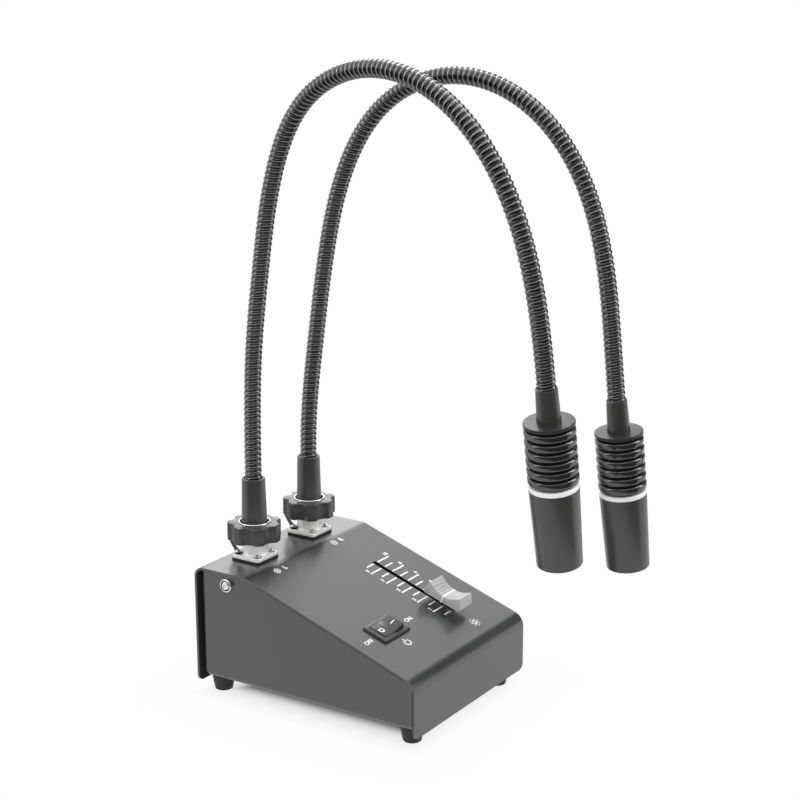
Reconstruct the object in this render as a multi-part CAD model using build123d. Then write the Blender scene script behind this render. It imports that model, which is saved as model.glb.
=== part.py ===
from build123d import *
import math
import os

os.makedirs("parts", exist_ok=True)

# Dual gooseneck illuminator. Millimetres, +Z up, the user sits at -Y.
# The origin is on the bench, under the middle of the control box.

# Overall sizes of the control box
box_width = 100.0
box_depth = 127.0
strip_height = 65.6
front_height = 33.3
strip_depth = 31.4
sheet = 1.2
skirt_gap = 6.0

# General clearances and finishes
overrun = 1.0
fit_gap = 0.05
run_gap = 0.1
body_gap = 0.3
soft_edge = 0.4

# Bends of the top cover, on its outer face
rear_bend = 5.0
strip_bend = 9.0
front_bend = 7.0
skirt_corner = 3.0

# Chassis: floor and two side plates inside the cover
side_inset = 1.5
floor_height = 9.0
chassis_bend = 3.0
rear_setback = 2.4
flange_width = 9.0
front_setback = 1.4
plate_gap = 0.4

# Feet and the screws that hold them
foot_spacing_x = 78.0
foot_spacing_y = 111.0
foot_shift_y = 0.5
foot_top_radius = 6.0
foot_radius = 4.4
foot_pocket_radius = 3.1
foot_pocket_depth = 4.0
foot_edge = 0.6
foot_thread = 1.5
foot_head_radius = 2.75
foot_head_height = 1.9
foot_boss_radius = 3.0
foot_boss_height = 2.6
foot_screw_rise = 1.0
drive_radius = 1.0
drive_depth = 1.0

# Side screws that hold the cover to the chassis
cover_screw_y = 44.4
cover_screw_z = 59.3
cover_head_radius = 3.4
cover_head_height = 2.2
cover_thread = 1.95
cover_screw_length = 6.0
tab_width = 13.0
tab_height = 15.0

# Brightness fader, measured down the sloped panel
fader_x = 21.6
scale_start = 27.8
scale_step = 4.8
scale_steps = 10
scale_rest = 9
slot_width = 2.4
lever_width = 2.2
lever_thick = 1.1
fader_length = 63.0
fader_width = 9.4
fader_height = 7.0
fader_wall = 0.8
carriage_length = 9.0
carriage_height = 3.2
knob_length = 22.2
knob_width = 11.2
knob_base = 3.6
knob_saddle = 7.1
knob_tip = 10.7
knob_lean = 2.3
knob_waist = 1.6
knob_tuck = 1.0
knob_groove = 0.45
knob_grooves = 4
knob_groove_pitch = 1.55
knob_socket_depth = 2.6
knob_edge = 0.5

# Power rocker, measured down the sloped panel
switch_x = -23.65
switch_down = 66.4
bezel_length = 21.0
bezel_width = 14.0
bezel_height = 1.2
bezel_edge = 0.5
switch_body_length = 19.0
switch_body_width = 12.2
switch_body_depth = 13.0
rocker_radius = 7.9
rocker_width = 8.9
rocker_throw = 24.0
rocker_pivot_depth = 1.5
rocker_pin = 1.2
rocker_dish = 2.4
rocker_root = 2.6
rocker_wall_gap = 0.3
terminal_length = 8.0
terminal_width = 4.8
terminal_thick = 0.8
terminal_pitch = 7.0

# Control board, hung parallel to the sloped panel under the fader
board_width = 34.0
board_length = 72.0
board_thick = 1.6
board_margin = 3.4
spacer_radius = 2.6
board_thread = 1.25
board_head_radius = 2.4
board_head_height = 1.6
board_screw_length = 6.0
chip_height = 1.8
chip_length = 10.0
chip_width = 6.2
coil_size = 9.0
coil_height = 5.0
can_radius = 4.0
can_height = 8.0
plug_block_length = 12.0
plug_block_width = 6.0
plug_block_height = 7.0

# Power inlet in the rear wall
inlet_x = 26.0
inlet_z = 27.0
inlet_radius = 3.95
inlet_length = 13.0
inlet_bore = 2.8
inlet_bore_depth = 9.0
inlet_pin = 1.05
inlet_flange_radius = 5.4
inlet_flange = 1.8
inlet_nut_size = 5.6
inlet_nut_height = 2.2

# Lamp sockets on the top strip
socket_y = 46.0
socket_x = {"left": -24.3, "right": 21.2}
gasket_size = 17.0
gasket_thick = 1.0
flange_size = 16.4
flange_thick = 1.8
flange_corner = 1.4
flange_screw_pitch = 11.4
barrel_radius = 6.3
barrel_bore = 5.3
barrel_height = 16.0
tail_radius = 5.5
tail_bore = 4.5
tail_depth = 12.0
insert_top = 3.0
insert_tail = 1.5
contact_ring = 2.4
contact_count = 4
contact_radius = 0.8
contact_bore = 0.45
contact_tail = 3.0
flange_thread = 0.95
flange_head_radius = 1.6
flange_head_height = 1.3
flange_screw_length = 6.0

# Coupling nut, its bright ring, and the plug that it pulls down
nut_radius = 13.3
nut_bottom = 10.0
nut_top = 18.7
nut_lobes = 7
nut_scallop = 4.6
nut_trough = 11.2
nut_lobe_round = 0.9
nut_edge = 0.5
nut_phase = {"left": 202.0, "right": 196.0}
ring_radius = 7.8
ring_bore = 6.55
ring_stand = 0.6
shoulder_radius = 7.4
shoulder_thick = 1.0
spigot_bottom = 6.0
plug_bore = 3.4
plug_insert_length = 8.0
plug_pin_radius = 0.4
plug_pin_length = 3.0

# Sleeve at the foot of each gooseneck
base_sleeve_height = 41.2
base_sleeve_radius = 6.25
base_sleeve_mouth = 5.7
base_sleeve_bore = 4.5

# Goosenecks: a ribbed flexible tube. Tilt is from upright, swing is out of its upright plane
neck_length = 414.9
rib_pitch = 2.7
rib_crest = 4.2
rib_root = 3.8
neck_bore = 2.3
rib_place_shares = (0.0, 0.18, 0.62, 0.8)
joint_place_shares = (0.0, 0.22, 0.44, 0.66, 0.88)
neck_heading = {"left": -101.4, "right": -89.3}
neck_tilt = {
    "left": (0.0, 2.7, 9.2, 11.9, 27.1, 62.7, 95.8, 126.9, 153.5, 172.3, 181.3),
    "right": (0.0, 7.4, 8.9, 14.4, 32.6, 67.2, 105.1, 138.2, 162.9, 174.9, 177.4),
}
neck_swing = {
    "left": (0.0, 0.0, 0.0, 0.0, -0.2, 0.0, 0.8, 2.5, 4.8, 7.1, 9.4),
    "right": (0.0, 0.0, 0.0, 0.0, -0.4, -0.5, -0.5, 0.1, 1.4, 3.7, 6.8),
}
ball_radius = 3.7
joint_setback = 2.0
collar = 2.4
path_step = 0.5

# Lamp heads, measured down from the end of the gooseneck
head_sleeve_length = 15.0
head_sleeve_mouth = 4.75
head_sleeve_radius = 5.3
head_sleeve_bore = 4.25
neck_seat = 12.0
lead_bore = 1.8
head_radius = 11.2
disc_thick = 1.6
fin_count = 6
fin_thick = 3.25
fin_gap = 1.1
fin_round = 1.35
core_radius = 8.9
board_seat_radius = 8.7
heatsink_spigot = 9.4
heatsink_spigot_length = 4.9
bezel_band = 2.2
barrel_top_radius = 11.1
barrel_end_radius = 10.05
head_barrel_length = 36.0
barrel_wall_bore = 9.0
barrel_lip = 2.4
barrel_lip_bore = 8.3
lens_edge = 2.4
lens_bulge = 2.6
led_board_thick = 1.6
emitter_size = 3.6
emitter_height = 0.8
dome_radius = 1.5

# Dust cap on its strap, beside each socket
cap_radius = 6.9
cap_wall = 0.55
cap_height = 7.0
cap_bottom = 8.3
cap_x = 19.5
cap_y = 9.1
strap_radius = 0.8
strap_bend = 2.0
eyelet_thick = 0.8
strap_points = (
    (-2.9, 10.2, 4.5),
    (-1.3, 13.6, 7.0),
    (0.9, 16.3, 10.7),
    (6.8, 15.9, 12.6),
    (14.6, 12.3, 12.0),
)

SIDES = ("left", "right")
UP = (Align.CENTER, Align.CENTER, Align.MIN)
DOWN = (Align.CENTER, Align.CENTER, Align.MAX)


# Writes one piece, or a group of like pieces, as one STEP file.
def save(name, shape):
    export_step(shape, "parts/" + name + ".step")


# A round bar standing on z = bottom and reaching z = top.
def bar(radius, bottom, top):
    return Pos(0, 0, bottom) * Cylinder(radius, top - bottom, align=UP)


# A tapered round bar from z = bottom to z = top.
def taper(radius_bottom, radius_top, bottom, top):
    return Pos(0, 0, bottom) * Cone(radius_bottom, radius_top, top - bottom, align=UP)


# A group of separate solids that share one node.
def group(shapes):
    return Compound(children=[shape for shape in shapes])


# Frame of the sloped panel: x across, -y down the slope, z out of the face.
bend_y = box_depth / 2 - strip_depth
slope_run = bend_y + box_depth / 2
slope_drop = strip_height - front_height
slope_angle = math.atan2(slope_drop, slope_run)
panel = Plane(
    origin=(0, bend_y, strip_height),
    x_dir=(1, 0, 0),
    z_dir=(0, -math.sin(slope_angle), math.cos(slope_angle)),
)


# Puts a shape on the sloped panel, `down` the slope and `out` of its face.
def on_panel(x, down, out, shape):
    return panel * Pos(x, -down, out) * shape


# Corner where two lines that are moved sideways by `inset` cross again.
def inset_corner(before, corner, after, inset):
    a = math.atan2(corner[1] - before[1], corner[0] - before[0])
    b = math.atan2(after[1] - corner[1], after[0] - corner[0])
    half = (b - a) / 2
    middle = a + half
    reach = inset / math.cos(half)
    return (corner[0] - math.sin(middle) * reach, corner[1] + math.cos(middle) * reach)


# Side outline of the cover, from the rear skirt over the top to the front skirt.
def cover_outline(inset):
    rear = box_depth / 2
    front = -box_depth / 2
    corners = [
        (rear, skirt_gap),
        (rear, strip_height),
        (bend_y, strip_height),
        (front, front_height),
        (front, skirt_gap),
    ]
    points = [(rear - inset, skirt_gap)]
    for i in range(1, len(corners) - 1):
        points.append(inset_corner(corners[i - 1], corners[i], corners[i + 1], inset))
    points.append((front + inset, skirt_gap))
    radii = [rear_bend - inset, strip_bend - inset, front_bend - inset]
    return Plane.YZ * FilletPolyline(*[(y, z) for y, z in points], radius=radii)


# Closed face between two such outlines.
def cover_face():
    outer = cover_outline(0)
    inner = cover_outline(sheet)
    rear_edge = Line(outer @ 0, inner @ 0)
    front_edge = Line(outer @ 1, inner @ 1)
    return make_face([outer, rear_edge, inner, front_edge])


strip_points = [(socket_x[side], socket_y) for side in SIDES]
screw_place = flange_screw_pitch / 2
screw_offsets = [(a * screw_place, b * screw_place) for a in (-1, 1) for b in (-1, 1)]
plate_face = box_width / 2 - side_inset
scale_length = scale_step * scale_steps
slot_end = lever_width / 2 + run_gap
slot_length = scale_length + 2 * slot_end
slot_middle = scale_start + scale_length / 2
tab_face = plate_face - sheet - fit_gap


# Folded steel cover with every hole that the fittings need.
def make_top_cover():
    cover = extrude(cover_face(), amount=box_width / 2, both=True)
    skirt = cover.edges().filter_by(Axis.Y).group_by(Axis.Z)[0]
    cover = fillet(skirt, skirt_corner)
    for x, y in strip_points:
        cover -= Pos(x, y, 0) * bar(tail_radius + run_gap, strip_height - 2 * sheet, strip_height + sheet)
        for dx, dy in screw_offsets:
            hole = bar(flange_thread, strip_height - 2 * sheet, strip_height + sheet)
            cover -= Pos(x + dx, y + dy, 0) * hole
    cover -= on_panel(fader_x, slot_middle, 0, Box(slot_width, slot_length, 4 * sheet))
    window = Box(switch_body_length + 2 * run_gap, switch_body_width + 2 * run_gap, 4 * sheet)
    cover -= on_panel(switch_x, switch_down, 0, window)
    inlet_hole = Rot(90, 0, 0) * Cylinder(inlet_radius + fit_gap, 4 * sheet)
    cover -= Pos(inlet_x, box_depth / 2, inlet_z) * inlet_hole
    for mirror_x in (-1, 1):
        tab_rise = strip_height - sheet - cover_screw_z + tab_height / 2
        tab = Box(sheet, tab_width, tab_rise, align=(Align.MAX, Align.CENTER, Align.MAX))
        if mirror_x < 0:
            tab = mirror(tab, Plane.YZ)
        hole = Rot(0, 90, 0) * Cylinder(cover_thread, 4 * sheet)
        tab = Pos(mirror_x * tab_face, cover_screw_y, strip_height - sheet) * tab
        cover += tab - Pos(mirror_x * tab_face, cover_screw_y, cover_screw_z) * hole
    return cover


# Floor and side plates, bent from one sheet, with threaded bosses for the feet.
def make_base_chassis():
    rear = box_depth / 2 - rear_setback
    front = -box_depth / 2 + sheet + front_setback
    top = cover_outline(sheet + plate_gap)
    side_cover = make_face([top, Line(top @ 0, top @ 1)])
    block = extrude(side_cover, amount=plate_face, both=True)
    length = rear - front
    hull = Box(2 * plate_face, length, strip_height, align=(Align.CENTER, Align.MAX, Align.MIN))
    hull = fillet(hull.edges().filter_by(Axis.Z).group_by(Axis.Y)[-1], chassis_bend)
    hull = fillet(hull.edges().filter_by(Axis.Y).group_by(Axis.Z)[0], chassis_bend)
    inside = plate_face - sheet
    hollow = Box(2 * inside, length, strip_height, align=(Align.CENTER, Align.MAX, Align.MIN))
    hollow = fillet(hollow.edges().filter_by(Axis.Z).group_by(Axis.Y)[-1], chassis_bend - sheet)
    hollow = fillet(hollow.edges().filter_by(Axis.Y).group_by(Axis.Z)[0], chassis_bend - sheet)
    shell = hull - Pos(0, -sheet, sheet) * hollow
    doorway = Box(2 * (plate_face - flange_width), 4 * sheet, strip_height, align=UP)
    shell = Pos(0, rear, floor_height) * (shell - Pos(0, 0, chassis_bend) * doorway)
    chassis = shell & block
    boss_top = floor_height + sheet + foot_boss_height
    for x, y in foot_places():
        chassis += Pos(x, y, 0) * bar(foot_boss_radius, floor_height + sheet, boss_top)
        chassis -= Pos(x, y, 0) * bar(foot_thread, floor_height - overrun, boss_top + overrun)
    for mirror_x in (-1, 1):
        hole = Rot(0, 90, 0) * Cylinder(cover_thread + run_gap, 4 * sheet)
        chassis -= Pos(mirror_x * plate_face, cover_screw_y, cover_screw_z) * hole
    return chassis


# Middle of each foot.
def foot_places():
    half_x = foot_spacing_x / 2
    half_y = foot_spacing_y / 2
    return [(a * half_x, foot_shift_y + b * half_y) for a in (-1, 1) for b in (-1, 1)]


# Tapered rubber foot with a pocket for its screw.
def make_foot():
    foot = taper(foot_radius, foot_top_radius, 0, floor_height)
    foot = fillet(foot.edges().group_by(Axis.Z)[0], foot_edge)
    foot -= bar(foot_pocket_radius, -overrun, foot_pocket_depth)
    foot -= bar(foot_thread, 0, floor_height + overrun)
    return foot


# Pan head screw pointing up, its head under z = 0.
def pan_screw(thread, head_radius, head_height, length):
    head = Cylinder(head_radius, head_height, align=DOWN)
    head = fillet(head.edges().group_by(Axis.Z)[0], head_height / 3)
    screw = head + Cylinder(thread, length, align=UP)
    slot_depth = head_height / 2
    for turn in (0, 90):
        slot = Box(head_radius, head_radius / 4, slot_depth, align=UP)
        screw -= Pos(0, 0, -head_height) * Rot(0, 0, turn) * slot
    return screw


# Long slide potentiometer: a steel can with a slot for its lever.
def make_fader_body():
    can = Box(fader_width, fader_length, fader_height, align=DOWN)
    inside_width = fader_width - 2 * fader_wall
    inside_length = fader_length - 2 * fader_wall
    inside_height = fader_height - 2 * fader_wall
    can -= Pos(0, 0, -fader_wall) * Box(inside_width, inside_length, inside_height, align=DOWN)
    can -= Box(slot_width, slot_length, 4 * fader_wall)
    return on_panel(fader_x, slot_middle, -sheet, can)


scale_place = scale_start + scale_step * scale_rest
carriage_floor = -sheet - fader_height + fader_wall + body_gap
knob_seat = knob_base + knob_socket_depth


# Sliding carriage and the tongue that stands up through the slot.
def make_fader_lever():
    width = fader_width - 2 * fader_wall - 2 * body_gap
    carriage = Pos(0, 0, carriage_floor) * Box(width, carriage_length, carriage_height, align=UP)
    tongue = Box(lever_thick, lever_width, knob_seat - carriage_floor, align=UP)
    return on_panel(fader_x, scale_place, 0, carriage + Pos(0, 0, carriage_floor) * tongue)


# Saddle-shaped fader cap with grip grooves either side of its middle.
def make_fader_knob():
    half = knob_length / 2
    rise = knob_tip - knob_saddle
    tip = half - knob_lean
    foot = half - knob_tuck
    waist_height = knob_base + knob_waist
    with BuildSketch(Plane.YZ) as side:
        with BuildLine():
            ThreePointArc((-tip, knob_tip), (0, knob_saddle), (tip, knob_tip))
            Polyline((tip, knob_tip), (half, waist_height), (foot, knob_base))
            Line((foot, knob_base), (-foot, knob_base))
            Polyline((-foot, knob_base), (-half, waist_height), (-tip, knob_tip))
        make_face()
    knob = extrude(side.sketch, amount=knob_width / 2, both=True)
    straight = knob.edges().filter_by(GeomType.LINE)
    leaning = straight.filter_by(Axis.X, reverse=True).filter_by(Axis.Y, reverse=True)
    knob = fillet(leaning, knob_edge)
    saddle_radius = (tip * tip + rise * rise) / (2 * rise)
    for mirror_y in (-1, 1):
        for i in range(1, knob_grooves + 1):
            angle = mirror_y * i * knob_groove_pitch / saddle_radius
            y = saddle_radius * math.sin(angle)
            z = knob_saddle + saddle_radius * (1 - math.cos(angle))
            groove = Rot(math.degrees(angle), 0, 0) * Box(knob_width + overrun, knob_groove, knob_groove)
            knob -= Pos(0, y, z) * groove
    pocket_width = lever_thick + 2 * fit_gap
    pocket_length = lever_width + 2 * fit_gap
    pocket = Box(pocket_width, pocket_length, knob_socket_depth + overrun, align=DOWN)
    knob -= Pos(0, 0, knob_seat) * pocket
    return on_panel(fader_x, scale_place, 0, knob)


# Snap-in rocker switch case with its bezel and the well for the rocker.
def make_switch_housing():
    bezel = Box(bezel_length, bezel_width, bezel_height, align=UP)
    bezel = chamfer(bezel.edges().group_by(Axis.Z)[-1], bezel_edge)
    body = Box(switch_body_length, switch_body_width, switch_body_depth, align=DOWN)
    well_length = 2 * (rocker_radius + rocker_wall_gap)
    well_width = rocker_width + 2 * rocker_wall_gap
    well_depth = rocker_pivot_depth + rocker_radius + body_gap
    well = Pos(0, 0, bezel_height + overrun) * Box(well_length, well_width, well_depth, align=DOWN)
    housing = bezel + body - well
    pivot = Rot(90, 0, 0) * Cylinder(rocker_pin + run_gap, switch_body_width + overrun)
    housing -= Pos(0, 0, -rocker_pivot_depth) * pivot
    return on_panel(switch_x, switch_down, 0, housing)


# Rocker: ends turned about the pivot, a shallow dished top, and its cross pin.
def make_switch_rocker():
    half_throw = math.radians(rocker_throw / 2)
    dish = rocker_dish + rocker_pivot_depth
    reach = 2 * rocker_radius
    with BuildSketch(Plane.XZ) as side:
        Circle(rocker_radius)
        with BuildSketch(Plane.XZ, mode=Mode.INTERSECT):
            with BuildLine():
                lift = reach * math.tan(half_throw)
                Polyline(
                    (-reach, -rocker_root),
                    (reach, -rocker_root),
                    (reach, dish + lift),
                    (0, dish),
                    (-reach, dish + lift),
                    (-reach, -rocker_root),
                )
            make_face()
    rocker = extrude(side.sketch, amount=rocker_width / 2, both=True)
    pin = Rot(90, 0, 0) * Cylinder(rocker_pin, switch_body_width - soft_edge)
    rocker = Rot(0, -rocker_throw / 2, 0) * (rocker + pin)
    return on_panel(switch_x, switch_down, -rocker_pivot_depth, rocker)


# Spade terminals under the switch.
def make_switch_terminals():
    spades = []
    for place in (-1, 0, 1):
        spade = Box(terminal_thick, terminal_width, terminal_length, align=DOWN)
        spades.append(on_panel(switch_x + place * terminal_pitch, switch_down, -switch_body_depth, spade))
    return spades


board_top = -sheet - fader_height
board_bottom = board_top - board_thick


# Middle of each board spacer, across and down the slope.
def spacer_places():
    half_x = board_width / 2 - board_margin
    half_y = board_length / 2 - board_margin
    return [(fader_x + a * half_x, slot_middle + b * half_y) for a in (-1, 1) for b in (-1, 1)]


# Printed circuit board that carries the fader and the lamp drivers.
def make_control_board():
    plate = Box(board_width, board_length, board_thick, align=DOWN)
    board = on_panel(fader_x, slot_middle, board_top, plate)
    for x, down in spacer_places():
        board -= on_panel(x, down, board_top, Cylinder(board_thread + run_gap, 4 * board_thick))
    return board


# Driver chips, coils, capacitors and lead sockets under the board.
def make_board_components():
    half_x = board_width / 4
    half_y = board_length / 4
    parts = []
    for a in (-1, 1):
        chip = Box(chip_width, chip_length, chip_height, align=DOWN)
        coil = Box(coil_size, coil_size, coil_height, align=DOWN)
        coil = fillet(coil.edges().filter_by(Axis.Z), coil_size / 6)
        can = Cylinder(can_radius, can_height, align=DOWN)
        block = Box(plug_block_length, plug_block_width, plug_block_height, align=DOWN)
        parts.append(on_panel(fader_x + a * half_x, slot_middle - half_y / 3, board_bottom, chip))
        parts.append(on_panel(fader_x + a * half_x, slot_middle + half_y / 2, board_bottom, coil))
        parts.append(on_panel(fader_x + a * half_x / 2, slot_middle + 3 * half_y / 2, board_bottom, can))
        parts.append(on_panel(fader_x + a * half_x, slot_middle - half_y, board_bottom, block))
    return parts


# Spacers between the panel and the board.
def make_board_spacers():
    spacers = []
    for x, down in spacer_places():
        spacer = Cylinder(spacer_radius, fader_height, align=DOWN) - Cylinder(board_thread, 4 * fader_height)
        spacers.append(on_panel(x, down, -sheet, spacer))
    return spacers


# Screws from below through the board into its spacers.
def make_board_screws():
    screw = pan_screw(board_thread, board_head_radius, board_head_height, board_screw_length)
    return [on_panel(x, down, board_bottom, screw) for x, down in spacer_places()]


# Round power inlet with its contact pin and two solder tags.
def make_dc_jack():
    jack = Cylinder(inlet_flange_radius, inlet_flange, align=UP)
    jack = fillet(jack.edges().group_by(Axis.Z)[-1], soft_edge)
    jack += Cylinder(inlet_radius, inlet_length, align=DOWN)
    bore_top = inlet_flange + overrun
    jack -= bar(inlet_bore, inlet_flange - inlet_bore_depth, bore_top)
    jack += bar(inlet_pin, inlet_flange - inlet_bore_depth - overrun, -inlet_pin)
    for place in (-1, 1):
        tag = Box(inlet_pin, inlet_pin * 2, inlet_bore, align=DOWN)
        jack += Pos(place * inlet_radius / 2, 0, -inlet_length) * tag
    return Pos(inlet_x, box_depth / 2, inlet_z) * Rot(-90, 0, 0) * jack


# Hexagon nut that clamps the inlet from inside the rear wall.
def make_dc_jack_nut():
    nut = extrude(RegularPolygon(inlet_nut_size, 6), amount=-inlet_nut_height)
    nut -= Cylinder(inlet_radius + fit_gap, 4 * inlet_nut_height)
    return Pos(inlet_x, box_depth / 2 - sheet, inlet_z) * Rot(-90, 0, 0) * nut


# Frame on the top strip, at the middle of one socket.
def socket_frame(side):
    return Pos(socket_x[side], socket_y, strip_height)


flange_top = gasket_thick + flange_thick


# Square-flanged metal socket with a threaded barrel and a tail under the strip.
def make_socket_shell():
    flange = Box(flange_size, flange_size, flange_thick, align=UP)
    flange = fillet(flange.edges().filter_by(Axis.Z), flange_corner)
    shell = Pos(0, 0, gasket_thick) * flange
    for dx, dy in screw_offsets:
        shell -= Pos(dx, dy, 0) * bar(flange_thread + run_gap, 0, flange_top + overrun)
    shell += bar(barrel_radius, gasket_thick, barrel_height)
    shell += bar(tail_radius, -tail_depth, flange_top)
    shell -= bar(barrel_bore, insert_top, barrel_height + overrun)
    shell -= bar(tail_bore, -tail_depth - overrun, insert_top + overrun)
    return shell


# Rubber gasket between the flange and the strip.
def make_socket_gasket():
    gasket = Box(gasket_size, gasket_size, gasket_thick, align=UP)
    gasket = fillet(gasket.edges().filter_by(Axis.Z), flange_corner)
    gasket -= bar(tail_radius + run_gap, -overrun, gasket_thick + overrun)
    for dx, dy in screw_offsets:
        gasket -= Pos(dx, dy, 0) * bar(flange_thread + run_gap, -overrun, gasket_thick + overrun)
    return gasket


# Middle of each contact, about the plug's axis.
def contact_places():
    turns = [2 * math.pi * i / contact_count for i in range(contact_count)]
    return [(contact_ring * math.cos(turn), contact_ring * math.sin(turn)) for turn in turns]


# Moulded insulator that fills the socket's tail.
def make_socket_insert():
    bottom = -tail_depth - insert_tail
    insert = bar(tail_bore - fit_gap, bottom, insert_top)
    for x, y in contact_places():
        insert -= Pos(x, y, 0) * bar(contact_radius, bottom - overrun, insert_top + overrun)
    return insert


# Turned contact tubes of one socket.
def make_socket_contacts():
    tubes = []
    for x, y in contact_places():
        bottom = -tail_depth - insert_tail - contact_tail
        tube = bar(contact_radius - fit_gap, bottom, insert_top - soft_edge)
        tube -= bar(contact_bore, -tail_depth, insert_top)
        tubes.append(Pos(x, y, 0) * tube)
    return tubes


# The four flange screws of one socket, heads up. The corner that holds the strap is raised by its eyelet.
def make_flange_screws():
    screws = []
    thread = flange_thread - fit_gap
    screw = pan_screw(thread, flange_head_radius, flange_head_height, flange_screw_length)
    for dx, dy in screw_offsets:
        lift = eyelet_thick if (dx < 0 and dy > 0) else 0
        screws.append(Pos(dx, dy, flange_top + lift) * Rot(180, 0, 0) * screw)
    return screws


# Rubber dust cap, its strap and the eyelet under a flange screw, moulded in one piece.
def make_dust_cap():
    cap = bar(cap_radius, cap_bottom, cap_bottom + cap_height)
    cap = fillet(cap.edges().group_by(Axis.Z)[-1], soft_edge)
    cap -= bar(cap_radius - cap_wall, cap_bottom - overrun, cap_bottom + cap_height - cap_wall)
    cap = Pos(cap_x, cap_y, 0) * cap
    corner_x = -screw_place
    corner_y = screw_place
    eyelet_top = flange_top + eyelet_thick
    reach = flange_head_radius + run_gap + strap_radius
    eyelet = bar(reach + strap_radius, flange_top, eyelet_top)
    eyelet -= bar(flange_thread + run_gap, flange_top - overrun, eyelet_top + overrun)
    eyelet = Pos(corner_x, corner_y, 0) * eyelet
    eyelet -= bar(barrel_radius + run_gap, flange_top - overrun, eyelet_top + overrun)
    turn = math.atan2(strap_points[0][1] - corner_y, strap_points[0][0] - corner_x)
    start = (corner_x + reach * math.cos(turn), corner_y + reach * math.sin(turn), flange_top + strap_radius)
    path = FilletPolyline(start, *strap_points, radius=strap_bend)
    profile = Plane(origin=path @ 0, z_dir=path % 0) * Circle(strap_radius)
    strap = sweep(profile, path=path)
    return cap + strap + eyelet


# Lobed coupling nut, threaded over the socket's barrel.
def make_coupling_nut(side):
    centre = nut_trough + nut_scallop
    outline = Circle(nut_radius)
    for i in range(nut_lobes):
        turn = math.radians(nut_phase[side] + 360 * i / nut_lobes)
        outline -= Pos(centre * math.cos(turn), centre * math.sin(turn)) * Circle(nut_scallop)
    outline = fillet(outline.vertices(), nut_lobe_round)
    nut = Pos(0, 0, nut_bottom) * extrude(outline, amount=nut_top - nut_bottom)
    nut = chamfer(nut.edges().group_by(Axis.Z)[-1], nut_edge)
    nut = chamfer(nut.edges().group_by(Axis.Z)[0], nut_edge)
    nut -= bar(barrel_radius + run_gap, nut_bottom - overrun, nut_top + overrun)
    nut -= bar(ring_radius + fit_gap, barrel_height, nut_top + overrun)
    return nut


shoulder_bottom = barrel_height + body_gap
shoulder_top = shoulder_bottom + shoulder_thick


# Bright ring pressed into the top of the nut. It keeps the plug's shoulder inside.
def make_nut_ring():
    ring = bar(ring_radius, shoulder_top + body_gap, nut_top + ring_stand)
    ring = chamfer(ring.edges().group_by(Axis.Z)[-1], ring_stand / 2)
    ring -= bar(ring_bore, shoulder_top - overrun, nut_top + overrun)
    return ring


ball_seat = base_sleeve_height - ball_radius


# Plug: a spigot in the socket, a shoulder under the ring and a tube up to the gooseneck's ball.
def make_plug_shell():
    shell = bar(barrel_bore - run_gap, spigot_bottom, shoulder_top)
    shell += bar(shoulder_radius, shoulder_bottom, shoulder_top)
    shell += bar(base_sleeve_bore - fit_gap, shoulder_bottom, ball_seat)
    shell -= bar(plug_bore, spigot_bottom + plug_insert_length, ball_seat + overrun)
    shell -= bar(plug_bore + soft_edge, spigot_bottom - overrun, spigot_bottom + plug_insert_length)
    return shell


# Insulator with its pins, held in the plug's spigot.
def make_plug_insert():
    insert = bar(plug_bore + soft_edge - fit_gap, spigot_bottom, spigot_bottom + plug_insert_length)
    for x, y in contact_places():
        insert += Pos(x, y, 0) * bar(plug_pin_radius, spigot_bottom - plug_pin_length, spigot_bottom)
    return insert


# Tapered sleeve that the gooseneck stands in.
def make_base_sleeve():
    sleeve = taper(base_sleeve_radius, base_sleeve_mouth, shoulder_top, base_sleeve_height)
    sleeve = fillet(sleeve.edges().group_by(Axis.Z)[-1], soft_edge)
    return sleeve - bar(base_sleeve_bore, shoulder_top - overrun, base_sleeve_height + overrun)


# Smooth value between the entries of an even table, at a share of its whole.
def table_at(values, share):
    spans = len(values) - 1
    place = min(max(share, 0), 1) * spans
    i = min(int(place), spans - 1)
    u = place - i
    before = values[i - 1] if i > 0 else 2 * values[0] - values[1]
    after = values[i + 2] if i + 2 <= spans else 2 * values[-1] - values[-2]
    here = values[i]
    there = values[i + 1]
    curve = 2 * here + (there - before) * u
    curve += (2 * before - 5 * here + 4 * there - after) * u ** 2
    curve += (3 * here - before - 3 * there + after) * u ** 3
    return curve / 2


# Directions at a share of a gooseneck: square to it, and along it.
def neck_directions(side, share):
    tilt = math.radians(table_at(neck_tilt[side], share))
    swing = math.radians(table_at(neck_swing[side], share))
    heading = math.radians(neck_heading[side])
    forward = Vector(math.cos(heading), math.sin(heading), 0)
    level = Vector(-math.sin(heading), math.cos(heading), 0)
    upright = forward * math.sin(tilt) + Vector(0, 0, math.cos(tilt))
    along = upright * math.cos(swing) + level * math.sin(swing)
    across = level * math.cos(swing) - upright * math.sin(swing)
    return across, along


# Points along the middle of a gooseneck, at every path step.
def neck_track(side):
    steps = round(neck_length / path_step)
    span = neck_length / steps
    track = [Vector(socket_x[side], socket_y, strip_height + base_sleeve_height)]
    for i in range(steps):
        across, along = neck_directions(side, (i + 1 / 2) / steps)
        track.append(track[-1] + along * span)
    return track


TRACKS = {side: neck_track(side) for side in SIDES}


# Frame at a length along a gooseneck: x square to it, z along the tube.
def neck_frame(side, length):
    track = TRACKS[side]
    steps = len(track) - 1
    place = min(max(length / neck_length, 0), 1) * steps
    i = min(int(place), steps - 1)
    across, along = neck_directions(side, length / neck_length)
    beyond = max(length - neck_length, 0) + min(length, 0)
    origin = track[i] + (track[i + 1] - track[i]) * (place - i) + along * beyond
    return Plane(origin=origin, x_dir=across, z_dir=along)


# Ruled loft through circles along a gooseneck, given as (length, radius).
def neck_loft(side, stations):
    return loft([neck_frame(side, place) * Circle(radius) for place, radius in stations], ruled=True)


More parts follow.
